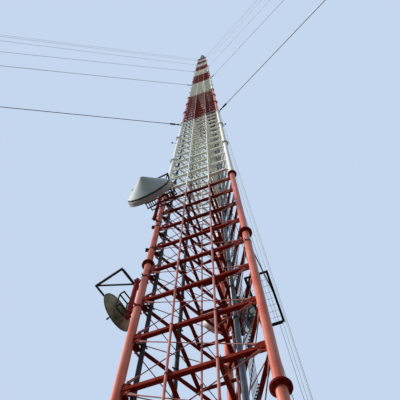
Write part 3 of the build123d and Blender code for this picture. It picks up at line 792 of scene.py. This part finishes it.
# %% Guy ropes
ROPE, ROPE_SIDES = 0.00215, 12
rope_places = stretched(axes(upper, lower - upper, (0, 0.3, 1)), guy_lengths)
leg_ropes = stamped(turned([(ROPE, 0), (ROPE, 1)], ROPE_SIDES), rope_places)
around = np.arange(ROPE_SIDES) / ROPE_SIDES
u = np.stack([around, around + 1 / ROPE_SIDES, around + 1 / ROPE_SIDES, around], -1)
v = np.array([0.0, 0.0, 1.0, 1.0]) * guy_lengths[:, None]
side_uv = np.stack([np.tile(u, (len(v), 1)), np.repeat(v, ROPE_SIDES, 0)], -1).reshape(-1, 2)
for side, azimuth in LEG_AZIMUTHS.items():
    made = piece(f"{side}_guy_ropes", stamped(leg_ropes, turn(azimuth)), rope_steel,
                 [f"{side}_guys"], 80)
    uv = np.zeros((len(made.data.loops), 2))
    uv[:len(side_uv)] = side_uv
    made.data.uv_layers.new(name="UVMap").data.foreach_set("uv", uv.ravel())

# %% [markdown]
# ## Ends of the guys
#
# A rope can't be bolted, so each end sits in a cast socket. At the top the socket stands on the lug
# of the leg, and a thick dark sleeve covers the rope behind it. At the ground a long turnbuckle,
# two threaded rods in crossheads, sets the tension. All of them are shapes in line with the rope.

# %% Sockets, sleeves and turnbuckles
RODS_APART = 0.0042
CROSSHEADS = (0.026, 0.084, 0.135)
socket = turned([(0.0052, 0.0), (0.0052, 0.004), (0.0046, 0.006), (0.0030, 0.022), (0.0024, 0.024)], 14)
dark_sleeve = turned([(0.0036, 0.024), (0.0056, 0.027), (0.0060, 0.032), (0.0060, 0.058),
                      (0.0052, 0.064), (0.0024, 0.068)], 14)
ironwork("guy_top_sleeves",
         stamped(joined(socket, dark_sleeve), each(at_leg_plane, axes(upper, way, (0, 1, 0)))))

threads = stamped(turned([(0.0015, CROSSHEADS[0]), (0.0015, CROSSHEADS[-1])], 8),
                  shift([(RODS_APART, 0, 0), (-RODS_APART, 0, 0)]))
crossheads = stamped(slab(0.014, 0.006, 0.007, 0.0008), lift(CROSSHEADS))
eye_rod = turned([(0.0030, 0.0), (0.0030, 0.012), (0.0021, 0.016), (0.0021, 0.030)], 10)
turnbuckle = joined(threads, crossheads, eye_rod, stamped(socket, lift(CROSSHEADS[-1] + 0.002)))
piece("guy_turnbuckles", stamped(turnbuckle, each(at_leg_plane, axes(lower, -way, (0, 1, 0)))), zinc)

# %% [markdown]
# ## Lugs and anchors
#
# The solids of the lugs, anchor plates and anchor blocks already have their real form, so they
# stay and only get their paint, steel and concrete. What is added is what holds them: a welded
# collar behind each lug, and a base plate with nuts under each anchor plate.

# %% Dressed solids
for name, material in (("guy_lugs", leg_white), ("anchor_plates", zinc), ("inner_anchor_blocks", concrete),
                       ("outer_anchor_blocks", concrete), ("top_plate", dark_steel)):
    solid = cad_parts[name].data
    solid.materials.clear()
    solid.materials.append(material)

COLLAR = 0.0100
collar = turned([(TUBE, -0.011), (COLLAR, -0.010), (COLLAR, 0.010), (TUBE, 0.011)], TUBE_SIDES)
collar_levels = np.concatenate([lug_heights(tops) for _, tops in ANCHORS]) - 0.008
piece("guy_collars", stamped(collar, each(legs_at, lift(collar_levels))), leg_white)

foot_plate = slab(0.080, 0.034, 0.003, 0.0006)
nuts = stamped(hexagon(0.0028, 0.0024),
               shift([(x, y, 0.0015) for x in (-0.03, 0.03) for y in (-0.011, 0.011)]))
foot_at = shift([(radius + 0.019, 0, 0.0315) for radius, _ in ANCHORS])
piece("anchor_foot_plates", stamped(joined(foot_plate, nuts), each(at_leg_plane, foot_at)), zinc)

# %% [markdown]
# ## Foundation
#
# A footing and a battered plinth of cast concrete. The edges of real concrete are never sharp, so
# the two six-sided bodies are turned profiles with six sides and their edges cut a little.

# %% Foundation
FOOTING_TOP, PLINTH_TOP = 0.045, 0.135


def six_sided(profile):
    """Profile given as (distance of the flats, height), turned about Z with six sides."""
    return turned([(r * 2 / math.sqrt(3), z) for r, z in profile], 6)


batter = math.tan(math.radians(4)) * (PLINTH_TOP - FOOTING_TOP)
footing = six_sided([(0.214, 0.0), (0.2150, 0.001), (0.2150, 0.0415), (0.2115, FOOTING_TOP)])
plinth = six_sided([(0.1850, FOOTING_TOP), (0.1850 - batter * 0.96, 0.1315), (0.1815 - batter, PLINTH_TOP)])
piece("foundation_concrete", joined(footing, plinth), concrete, ["foundation"], 20)

# %% Leg shoes
SHOE_PLATE = 0.004
rib = stamped(pushed([(0, 0), (0.0140, 0), (0.0140, 0.0015), (0.0012, 0.0105), (0, 0.0105)], 0.0012),
              shift((TUBE - 0.0006, 0, SHOE_PLATE)) @ SIDEWAYS)
anchor_bolt = joined(hexagon(0.0024, 0.0020), turned([(0.0013, 0.0), (0.0013, 0.0034)], 8))
shoe = joined(
    stamped(slab(0.0495, 0.0495, SHOE_PLATE, 0.0005), lift(SHOE_PLATE / 2)),
    turned([(TUBE, 0.0), (TUBE, 0.0122), (TUBE + WELD_OUT, 0.015)], TUBE_SIDES),
    stamped(rib, turn([0, 90, 180, 270])),
    stamped(anchor_bolt, shift([(x, y, SHOE_PLATE) for x in (-0.018, 0.018) for y in (-0.018, 0.018)])),
)
shoes_at = shift(np.column_stack([legs_at[:, :2, 3], np.full(3, PLINTH_TOP)]))
piece("leg_shoe_castings", stamped(shoe, shoes_at), red_bar_shade_paint, ["leg_shoes"])

# %% [markdown]
# ## Top of the mast
#
# A square column carries twenty rows of panel antennas on its four sides, the lowest rows under
# pale covers. A cover has rounded long edges, so its outline is a rounded shape pushed upwards. The
# legs carry small lamps, and the left one a few clamps whose use the photo doesn't tell.

# %% Antenna
ANTENNA_BASE = COLUMN_TOP + 0.006
PANEL_HEIGHT, PANEL_PITCH, FIRST_PANEL, PANEL_ROWS = 0.262, 0.28, 0.02, 20
PALE_ROWS = 4
ANTENNA_HEIGHT = 2 * FIRST_PANEL + PANEL_PITCH * (PANEL_ROWS - 1) + PANEL_HEIGHT
COLUMN = 0.092
QUARTER = np.linspace(0, math.pi / 2, 5)


def cover_outline(width, depth, corner):
    """Back edge straight, front corners rounded: quarter circles round (depth - corner, side)."""
    right_corner = np.column_stack([depth - corner + corner * np.sin(QUARTER),
                                    corner - width / 2 - corner * np.cos(QUARTER)])
    left_corner = right_corner[::-1] * [1, -1]
    return np.concatenate([[(0, -width / 2)], right_corner, left_corner, [(0, width / 2)]])


cover = stamped(pushed(cover_outline(0.088, 0.0438, 0.012), PANEL_HEIGHT), shift((COLUMN / 2 + 0.0001, 0, 0)))
rows = ANTENNA_BASE + FIRST_PANEL + PANEL_HEIGHT / 2 + PANEL_PITCH * np.arange(PANEL_ROWS)
for tone, heights, plastic in (("pale", rows[:PALE_ROWS], pale_plastic),
                               ("dark", rows[PALE_ROWS:], panel_plastic)):
    piece(f"panel_covers_{tone}", stamped(cover, each(lift(heights), turn([0, 90, 180, 270]))), plastic,
          ["antenna_panels"])

column = stamped(slab(COLUMN - 0.0002, COLUMN - 0.0002, ANTENNA_HEIGHT, 0.004),
                 lift(ANTENNA_BASE + ANTENNA_HEIGHT / 2))
belts = stamped(slab(COLUMN + 0.004, COLUMN + 0.004, 0.008, 0.0008), lift(rows - PANEL_PITCH / 2))
ironwork("antenna_mast_column", joined(column, belts), ["antenna_column"])
spike = turned([(0.0020, 0), (0.0020, 0.20), (0.0015, 0.21), (0.0015, 0.31), (0.0003, 0.3199)], 10)
piece("lightning_spike", stamped(spike, lift(ANTENNA_BASE + ANTENNA_HEIGHT)), zinc,
      ["lightning_rod"])

# %% Lamps and small fittings on the legs
LAMP_LEVEL, KNOB_LEVEL, SPARE_CLAMP_LEVELS = 3.01, 3.2, (1.45, 1.63)
LAMP_REACH = 0.022
arm = stamped(turned([(0.0010, -0.003), (0.0010, LAMP_REACH)], 8), axes((0, 0, 0), (1, 0, 0), (0, 0, 1)))
lamp = turned([(0.0028, -0.006), (0.0042, -0.0055), (0.0042, -0.003), (0.0034, -0.002), (0.0044, 0.0),
               (0.0044, 0.002), (0.0034, 0.0048), (0.0012, 0.006)], 16)
ironwork("obstruction_lamps", stamped(joined(arm, stamped(lamp, shift((LAMP_REACH, 0, 0)))),
                                      at_leg_plane @ shift((LEG_EDGE, 0, LAMP_LEVEL))), ["side_lamps"])
knob = joined(band_clamp(TUBE, 0.005, 0.005),
              stamped(slab(0.009, 0.008, 0.010, 0.002), shift((0.0135, 0, 0))))
ironwork("left_leg_dark_knob", stamped(knob, legs_at[0] @ lift(KNOB_LEVEL)))
holder = joined(band_clamp(TUBE, 0.006, 0.005),
                stamped(slab(0.009, 0.009, 0.008, 0.001), shift((0.0125, 0, -0.003))))
ironwork("left_leg_spare_clamps", stamped(holder, legs_at[0] @ lift(SPARE_CLAMP_LEVELS)))

# %% [markdown]
# ## The dishes
#
# Each dish has its own axes: Z is the level direction in which it looks, Y is up. In those axes the
# bowl, the drum and the conical cover are all turned profiles. The bracket behind them is a bent
# tube loop with four arms that reach back to two cross tubes, on an upright pole beside the leg.

# %% Axes of a dish and its bracket
POLE, POLE_SIDES = 0.0055, 20
BRACKET_TUBE = 0.00175


def level_way(azimuth):
    """Unit vector (cos a, sin a, 0) for an azimuth in degrees."""
    return np.array([math.cos(math.radians(azimuth)), math.sin(math.radians(azimuth)), 0.0])


def dish_axes(centre, height, azimuth):
    """Place at a dish's centre with Z along its azimuth and Y up."""
    look = level_way(azimuth)
    return axes((*centre, height), look, np.cross((0, 0, 1), look))


def rounded_loop(width, height, corner, z):
    """Points round a rectangle: each corner is a quarter circle, 90 degrees on from the one before."""
    a, b = width / 2 - corner, height / 2 - corner
    centres = np.array([(a, b), (-a, b), (-a, -b), (a, -b)])[:, None]
    t = np.arange(4)[:, None] * math.pi / 2 + QUARTER
    points = (centres + corner * np.stack([np.cos(t), np.sin(t)], -1)).reshape(-1, 2)
    return np.column_stack([points, np.full(len(points), z)])


def bracket(width, height, seat, standoff, aside=0.0):
    """Tube loop behind a dish and arms back to two cross tubes on the pole, all shifted aside."""
    tube, back = BRACKET_TUBE, POLE - standoff
    x, y = width / 2 - tube, height / 2 - tube
    parts = [pipe(rounded_loop(2 * x, 2 * y, 0.003, seat - tube), tube, 8, True)]
    for level in (-y, y):
        parts.append(pipe([(-x, level, back + tube), (x, level, back + tube)], tube, 8))
        parts += [pipe([(side, level, back), (side, level, seat - 2 * tube)], tube, 8) for side in (-x, x)]
    return stamped(joined(*parts), shift((aside, 0, 0)))


print("Points round a bracket:", len(rounded_loop(0.08, 0.06, 0.003, 0)))


# %% Poles and their clamps
def pole_tube(low, high):
    """Upright tube from low to high with its edges cut."""
    return turned([(POLE - 0.0006, low), (POLE, low + 0.0004), (POLE, high - 0.0004), (POLE - 0.0006, high)],
                  POLE_SIDES)


def pole_and_clamps(centre, height, azimuth, standoff, ends, side):
    """Upright pole behind a dish, with two band clamps on it that hold on to the leg's tube."""
    pole = np.array((*centre, 0)) - standoff * level_way(azimuth)
    foot = LEG_RADIUS * level_way(LEG_AZIMUTHS[side])
    across = pole - foot
    reach = np.linalg.norm(across)
    low, high = height + ends[0], height + ends[1]
    arm_iron = slab(reach - TUBE - POLE, 0.0048, 0.0068, 0.0006)
    clamp_set = joined(band_clamp(TUBE, 0.007, 0.006),
                       stamped(arm_iron, shift(((reach + TUBE - POLE) / 2, 0, 0))),
                       stamped(band_clamp(POLE, 0.007, 0.005), shift((reach, 0, 0))))
    towards_pole = turn(math.degrees(math.atan2(across[1], across[0])))
    clamps_at = shift(foot) @ lift([low + 0.0175, high - 0.0175]) @ towards_pole
    return joined(stamped(pole_tube(low, high), shift(pole)), stamped(clamp_set, clamps_at))


print("A pole has", len(pole_tube(0, 1)[0]), "corners")

# %% [markdown]
# ### Ice shields
#
# Ice that forms on a mast falls when it thaws, so a light frame of angles lies level above a dish
# and takes the blows. Each side is an L-shaped bar with its own place, and a brace runs across.

# %% Frames of angles
SHIELD_ANGLE, SHIELD_WALL, BRACE_ANGLE = 0.005, 0.0008, 0.0045


def angle_frame(across, along):
    """Level rectangle of four angles round the origin, with their upright legs on the outer side."""
    size = SHIELD_ANGLE
    long_side, short_side = (angle_iron(size, SHIELD_WALL, run) for run in (along, across - 2 * size))
    long_at = axes(((across - size) / 2, 0, 0), (0, 1, 0), (1, 0, 0))
    short_at = axes((0, (along - size) / 2, 0), (-1, 0, 0), (0, 1, 0))
    both = turn([0, 180])
    return joined(stamped(long_side, each(both, long_at)), stamped(short_side, each(both, short_at)))


def shield_frame(across, along, above, standoff):
    """Frame of angles over a dish with one brace, from the pole's front outwards."""
    size, start, y = SHIELD_ANGLE, POLE - standoff, above - SHIELD_ANGLE / 2
    sides = stamped(angle_frame(across, along), axes((0, y, start + along / 2), (0, -1, 0), (1, 0, 0)))
    brace_from = np.array([0, y, start + size])
    brace_to = np.array([across / 2 - size, y, start + along - size])
    brace = angle_iron(BRACE_ANGLE, SHIELD_WALL, np.linalg.norm(brace_to - brace_from))
    return joined(sides, stamped(brace, axes((brace_from + brace_to) / 2, brace_to - brace_from, (0, 1, 0))))


def level_angles(ends, y, size=BRACE_ANGLE):
    """Angles from one (x, z) to another at height y, each with its upright leg on the same hand."""
    parts = []
    for (x0, z0), (x1, z1) in ends:
        run = np.array([x1 - x0, 0.0, z1 - z0])
        middle = ((x0 + x1) / 2, y, (z0 + z1) / 2)
        parts.append(stamped(angle_iron(size, SHIELD_WALL, np.linalg.norm(run) + size),
                             axes(middle, run, (run[2], 0, -run[0]))))
    return joined(*parts)


print("A frame of angles has", len(angle_frame(0.1, 0.1)[0]), "corners")

# %% [markdown]
# ### Shrouded dish with a conical cover
#
# The big dish on the left leg is a drum closed in front by a fibreglass cone, which sheds ice. A
# steel band with clips joins the two. It stands in front of the drum on a smaller radius, and its
# dark green paint is painted shade: together with that step it makes the dark shadow line between
# cover and drum. Cover, drum and band are profiles turned with many sides, as their round edge
# shows large. The ice shield is wider outside than at the pole, where short rungs make a ladder of it.

# %% Radome dish
RADOME = dict(centre=(-0.134, -0.153), height=1.76, azimuth=264.0)
DRUM_DEPTH, DRUM_RADIUS, CONE_DEPTH = 0.013, 0.075, 0.055
DRUM_FRONT = 0.003
BAND_RADIUS, BAND_DEPTH = 0.0705, 0.0055
COVER_BASE = DRUM_FRONT + BAND_DEPTH
DISH_SIDES = 72
at_radome = dish_axes(**RADOME)
cone_profile = [(BAND_RADIUS - 0.001, COVER_BASE - 0.0006), (BAND_RADIUS, COVER_BASE + 0.001),
                (BAND_RADIUS - 0.003, COVER_BASE + 0.003),
                (DRUM_RADIUS * 0.5, CONE_DEPTH * 0.56), (DRUM_RADIUS * 0.12, CONE_DEPTH * 0.92),
                (DRUM_RADIUS * 0.07, CONE_DEPTH * 0.97), (DRUM_RADIUS * 0.02, CONE_DEPTH - 0.0002)]
piece("radome_cone_cover", stamped(turned(cone_profile, DISH_SIDES), at_radome), radome_cloth,
      ["radome_cover"], 45)
drum_profile = [(0.006, 0.004 - DRUM_DEPTH), (0.030, 0.0012 - DRUM_DEPTH), (DRUM_RADIUS - 0.004, -DRUM_DEPTH),
                (DRUM_RADIUS - 0.001, 0.001 - DRUM_DEPTH), (DRUM_RADIUS - 0.001, DRUM_FRONT - 0.0004),
                (DRUM_RADIUS - 0.0016, DRUM_FRONT)]
piece("radome_drum_shell", stamped(turned(drum_profile, DISH_SIDES), at_radome), drum_cloth,
      ["radome_drum"], 45)
band = turned([(BAND_RADIUS - 0.001, DRUM_FRONT - 0.0005), (BAND_RADIUS - 0.0005, DRUM_FRONT),
               (BAND_RADIUS - 0.0005, COVER_BASE), (BAND_RADIUS - 0.001, COVER_BASE)], DISH_SIDES)
clips = stamped(slab(0.0014, 0.004, BAND_DEPTH + 0.001, 0.0003),
                turn(np.arange(16) * 22.5) @ shift((BAND_RADIUS, 0, DRUM_FRONT + BAND_DEPTH / 2)))
piece("radome_rim_band", stamped(joined(band, clips), at_radome), rim_shade_green, (), 45)

# %% Bracket, pole and ice shield of the radome dish
RADOME_STANDOFF = 0.058
SHIELD_HEIGHT = 0.0925
OUTER_X, OUTER_Z, INNER_X, INNER_Z, LADDER_Z = 0.065, 0.0105, 0.0475, -0.0503, -0.0680
RUNGS_AT = (-INNER_X, -0.032, -0.016, 0.016, 0.032, INNER_X)
ironwork("radome_bracket_tubes",
         stamped(bracket(0.086, 0.060, -DRUM_DEPTH, RADOME_STANDOFF, 0.030), at_radome), ["radome_bracket"])
radome_pole = pole_and_clamps(**RADOME, standoff=RADOME_STANDOFF, ends=(-0.112, 0.098), side="left")
piece("radome_pole_clamped", radome_pole, red_bar_shade_paint, ["radome_mount"])
corners = [(OUTER_X, OUTER_Z), (-OUTER_X, OUTER_Z), (-INNER_X, INNER_Z), (INNER_X, INNER_Z)]
sides = [*zip(corners, corners[1:] + corners[:1]), ((-INNER_X, LADDER_Z), (INNER_X, LADDER_Z))]
rungs = [((x, LADDER_Z + 0.002), (x, INNER_Z - 0.002)) for x in RUNGS_AT]
radome_shield = joined(level_angles(sides, SHIELD_HEIGHT), level_angles(rungs, SHIELD_HEIGHT, 0.003),
                       level_angles([((0.003, INNER_Z), corners[0])], SHIELD_HEIGHT, 0.0035))
ironwork("radome_shield_angles", stamped(radome_shield, at_radome), ["radome_ice_shield"])

# %% [markdown]
# ### Open dish
#
# Lower down an open dish looks back past the leg, so the photo shows its mottled back and its rim,
# which a thin dark bead sets off. The bowl is a parabola with a wall and a rolled rim. The smaller
# dish behind the lattice is made by the same function, and it alone has ribs on its back.

# %% Bowls
def bowl_back(width, depth, r):
    """Back of a parabolic bowl at radius r: z = depth ((r / R)^2 - 1), where R is half the width."""
    return depth * ((2 * r / width) ** 2 - 1)


def parabola_bowl(width, depth):
    """The parabola outside, the same raised by the wall inside, and a rolled rim between."""
    radius, wall = width / 2, 0.0009
    r = np.linspace(0.04, 1.0, 10)
    outside = np.column_stack([(radius - 0.0018) * r, depth * (r ** 2 - 1)])
    t = np.linspace(-math.pi * 0.6, math.pi * 0.9, 8)
    rim = np.column_stack([radius - 0.0014 + 0.0013 * np.cos(t), -0.0013 + 0.0013 * np.sin(t)])
    return turned(np.concatenate([outside[:-1], rim, outside[-2::-1] + [0, wall]]), 64)


def bowl_ribs(width, depth, count):
    """Flat ribs on the back: each follows the parabola and stands out more towards the middle."""
    r = np.linspace(0.12, 0.86, 8)
    on_bowl = np.column_stack([width / 2 * r, depth * (r ** 2 - 1) + 0.0004])
    behind = on_bowl - np.column_stack([0 * r, 0.0012 + 0.004 * (1 - r)])
    rib = stamped(pushed(np.concatenate([behind[::-1], on_bowl]), 0.0009), SIDEWAYS)
    return stamped(rib, turn(np.arange(count) * 360 / count))


def feed(depth, scale=1.0):
    """Horn on a thin tube: a tube out from the bowl's middle, and a stepped head at its end."""
    start, reach = 0.001 - depth, 0.038
    stem = turned([(0.0024, 0), (0.0024, 0.004), (0.0013, 0.006), (0.0013, reach)], 12)
    steps = [(0.0016, 0.0), (0.0034, 0.001), (0.0034, 0.0052), (0.0026, 0.0066), (0.0008, 0.0070)]
    head = turned(np.array(steps) * [scale, 1], 18)
    return stamped(joined(stem, stamped(head, lift(reach))), lift(start))


print("A bowl has", len(parabola_bowl(0.093, 0.017)[0]), "corners")

# %% Open dish
OPEN = dict(centre=(-0.184, -0.058), height=1.175, azimuth=165.0)
OPEN_WIDTH, OPEN_DEPTH, OPEN_STANDOFF = 0.093, 0.017, 0.038
SEAT_BELOW = 0.0003
at_open = dish_axes(**OPEN)
piece("open_dish_bowl", stamped(parabola_bowl(OPEN_WIDTH, OPEN_DEPTH), at_open), olive_metal,
      ["open_dish"], 50)
t = 2 * math.pi * np.arange(64) / 64
bead_line = np.column_stack([0.0453 * np.cos(t), 0.0453 * np.sin(t), 0 * t - 0.0026])
ironwork("open_dish_rim_bead", stamped(pipe(bead_line, 0.0006, 6, True), at_open))
piece("open_dish_horn", stamped(feed(OPEN_DEPTH, 0.7), at_open), teal_metal, ["open_dish_feed"])
seat = bowl_back(OPEN_WIDTH, OPEN_DEPTH, 0.031 / 2 - 2 * BRACKET_TUBE - 0.008) - SEAT_BELOW
ironwork("open_dish_bracket_tubes", stamped(bracket(0.031, 0.060, seat, OPEN_STANDOFF, 0.008), at_open),
         ["open_dish_bracket"])
open_pole = pole_and_clamps(**OPEN, standoff=OPEN_STANDOFF, ends=(-0.062, 0.118), side="left")
piece("open_dish_pole_clamped", open_pole, red_bar_shade_paint, ["open_dish_mount"])
ironwork("open_dish_shield_angles", stamped(shield_frame(0.098, 0.080, 0.108, OPEN_STANDOFF), at_open),
         ["open_dish_ice_shield"])

# %% [markdown]
# ### Small dish on the back leg
#
# Through the lattice a small white dish can be seen behind. It is drawn as a flat drum: a shallow
# cover in front, a rim band, and a flat back that sits straight on its pole.

# %% Back dish
BACK = dict(centre=(-0.045, 0.165), height=1.4, azimuth=140.0)
BACK_DEPTH, BACK_RADIUS = 0.020, 0.0275
drum = [(0.010, 0.0005 - BACK_DEPTH), (0.011, -BACK_DEPTH), (BACK_RADIUS - 0.004, 0.001 - BACK_DEPTH),
        (BACK_RADIUS - 0.001, 0.003 - BACK_DEPTH), (BACK_RADIUS - 0.001, -0.005), (BACK_RADIUS, -0.0048),
        (BACK_RADIUS, -0.0012), (BACK_RADIUS - 0.001, -0.001), (BACK_RADIUS - 0.003, -0.0003),
        (0.006, -0.0001)]
piece("back_dish_drum", stamped(turned(drum, 56), dish_axes(**BACK)), leg_white,
      ["back_dish"], 45)
back_pole = pole_and_clamps(**BACK, standoff=BACK_DEPTH + POLE, ends=(-0.038, 0.038), side="back")
ironwork("back_dish_pole_clamped", back_pole, ["back_dish_mount"])

# %% [markdown]
# ### Dish behind the right face
#
# A smaller dish hangs on a pole that is clamped to two cross bars of the right face, and a meshed
# frame above and beside it keeps falling ice off. The mesh is one straight wire of length 1, stamped
# and stretched to size, because a pattern painted on a sheet would leave no holes. A stay from the
# leg holds the frame's outer edge.

# %% Rear dish
REAR_AZIMUTH, REAR_STANDOFF = FACE_AZIMUTHS["right"], 0.030
REAR_WIDTH, REAR_DEPTH = 0.072, 0.016
low_bar = COLUMN_BASE + FIRST_BAR + 6 * BAY
high_bar = low_bar + BAY
out, side_way = level_way(REAR_AZIMUTH), level_way(REAR_AZIMUTH + 90)
rear_pole_at = (FACE_RADIUS + BAR / 2 + POLE) * out + (0.61 - 0.5) * FACE_WIDTH * side_way
rear_centre = rear_pole_at + REAR_STANDOFF * out
at_rear = dish_axes(rear_centre[:2], (low_bar + high_bar) / 2, REAR_AZIMUTH)
piece("rear_dish_bowl", stamped(parabola_bowl(REAR_WIDTH, REAR_DEPTH), at_rear), teal_metal,
      ["rear_dish"], 50)
piece("rear_dish_ribs", stamped(bowl_ribs(REAR_WIDTH, REAR_DEPTH, 8), at_rear), teal_metal)
ironwork("rear_dish_horn", stamped(feed(REAR_DEPTH), at_rear), ["rear_dish_feed"])
seat = bowl_back(REAR_WIDTH, REAR_DEPTH, 0.030 / 2 - 2 * BRACKET_TUBE) - SEAT_BELOW
ironwork("rear_dish_bracket_tubes", stamped(bracket(0.030, 0.036, seat, REAR_STANDOFF), at_rear),
         ["rear_dish_bracket"])
rear_clamps = stamped(band_clamp(POLE, 0.006, 0.005), lift([low_bar, high_bar]) @ turn(REAR_AZIMUTH + 90))
ironwork("rear_dish_pole_clamped", stamped(joined(pole_tube(low_bar - BAR, high_bar + BAR), rear_clamps),
                                           shift(rear_pole_at)), ["rear_dish_pole"])

# %% Meshed shield
MESH_LENGTH, MESH_WIDTH, MESH_LEVEL = 0.122, 0.050, 1.13
WIRE, WIRE_DOWN = 0.00035, -0.0013
right_leg = LEG_RADIUS * level_way(LEG_AZIMUTHS["right"])
shield_centre = np.array([right_leg[0], right_leg[1] + LEG_FLATS / math.sqrt(3) + MESH_LENGTH / 2,
                          MESH_LEVEL + SHIELD_ANGLE / 2])
ironwork("rear_shield_angles", stamped(angle_frame(MESH_WIDTH, MESH_LENGTH), shift(shield_centre)),
         ["rear_ice_shield"])

inner_w, inner_l = MESH_WIDTH - SHIELD_ANGLE, MESH_LENGTH - SHIELD_ANGLE
along_mesh = [(x, 0, WIRE_DOWN) for x in np.linspace(-inner_w / 2, inner_w / 2, 4)[1:-1]]
across_mesh = [(0, y, WIRE_DOWN + 2 * WIRE) for y in np.linspace(-inner_l / 2, inner_l / 2, 9)[1:-1]]
wires_at = np.concatenate([stretched(axes(along_mesh, (0, 1, 0), (1, 0, 0)), inner_l),
                           stretched(axes(across_mesh, (1, 0, 0), (0, 1, 0)), inner_w)])
wires = stamped(turned([(WIRE, -0.5), (WIRE, 0.5)], 5), wires_at)
piece("rear_shield_wires", stamped(wires, shift(shield_centre)), zinc, ["rear_shield_mesh"])

# %% Stay of the meshed shield
STAY, STAY_RISE = 0.0015, 0.15
foot = np.array([right_leg[0] + inner_w / 2, shield_centre[1], MESH_LEVEL + SHIELD_ANGLE])
top = np.array([*right_leg[:2], foot[2] + STAY_RISE])
out_way = (foot - top) * [1, 1, 0]
out_way /= np.linalg.norm(out_way)
stay = pipe([top + out_way * (TUBE + 0.001), foot + (0, 0, 0.0006)], STAY, 8)
collar_at = shift(top) @ turn(math.degrees(math.atan2(out_way[1], out_way[0])) + 90)
ironwork("rear_shield_stay_rod", joined(stay, stamped(band_clamp(TUBE, 0.007, 0.005), collar_at)),
         ["rear_shield_stay"])

# %% [markdown]
# ## Ground
#
# A wide disc stands for the ground. The camera sees it pale, and for the light that it throws back
# it is darker, so that the undersides of the mast stay as dark as they are in the photo.

# %% Floor
FLOOR_RADIUS = 60.0
floor_paint = bpy.data.materials.new("floor_grey")
floor_paint.use_nodes = True
nodes, links = floor_paint.node_tree.nodes, floor_paint.node_tree.links
floor_shader = nodes["Principled BSDF"]
floor_shader.inputs["Roughness"].default_value = 0.9
tone = nodes.new("ShaderNodeMix")
tone.data_type = "RGBA"
tone.inputs["A"].default_value = (0.07, 0.07, 0.065, 1)
tone.inputs["B"].default_value = (0.72, 0.73, 0.74, 1)
links.new(nodes.new("ShaderNodeLightPath").outputs["Is Camera Ray"], tone.inputs["Factor"])
links.new(tone.outputs["Result"], floor_shader.inputs["Base Color"])
floor = mesh_object("floor", turned([(FLOOR_RADIUS, -0.02), (FLOOR_RADIUS, -0.0006)], 64), floor_paint)

# %% Sizes and finish
print("Triangles in all:", sum(triangle_counts))
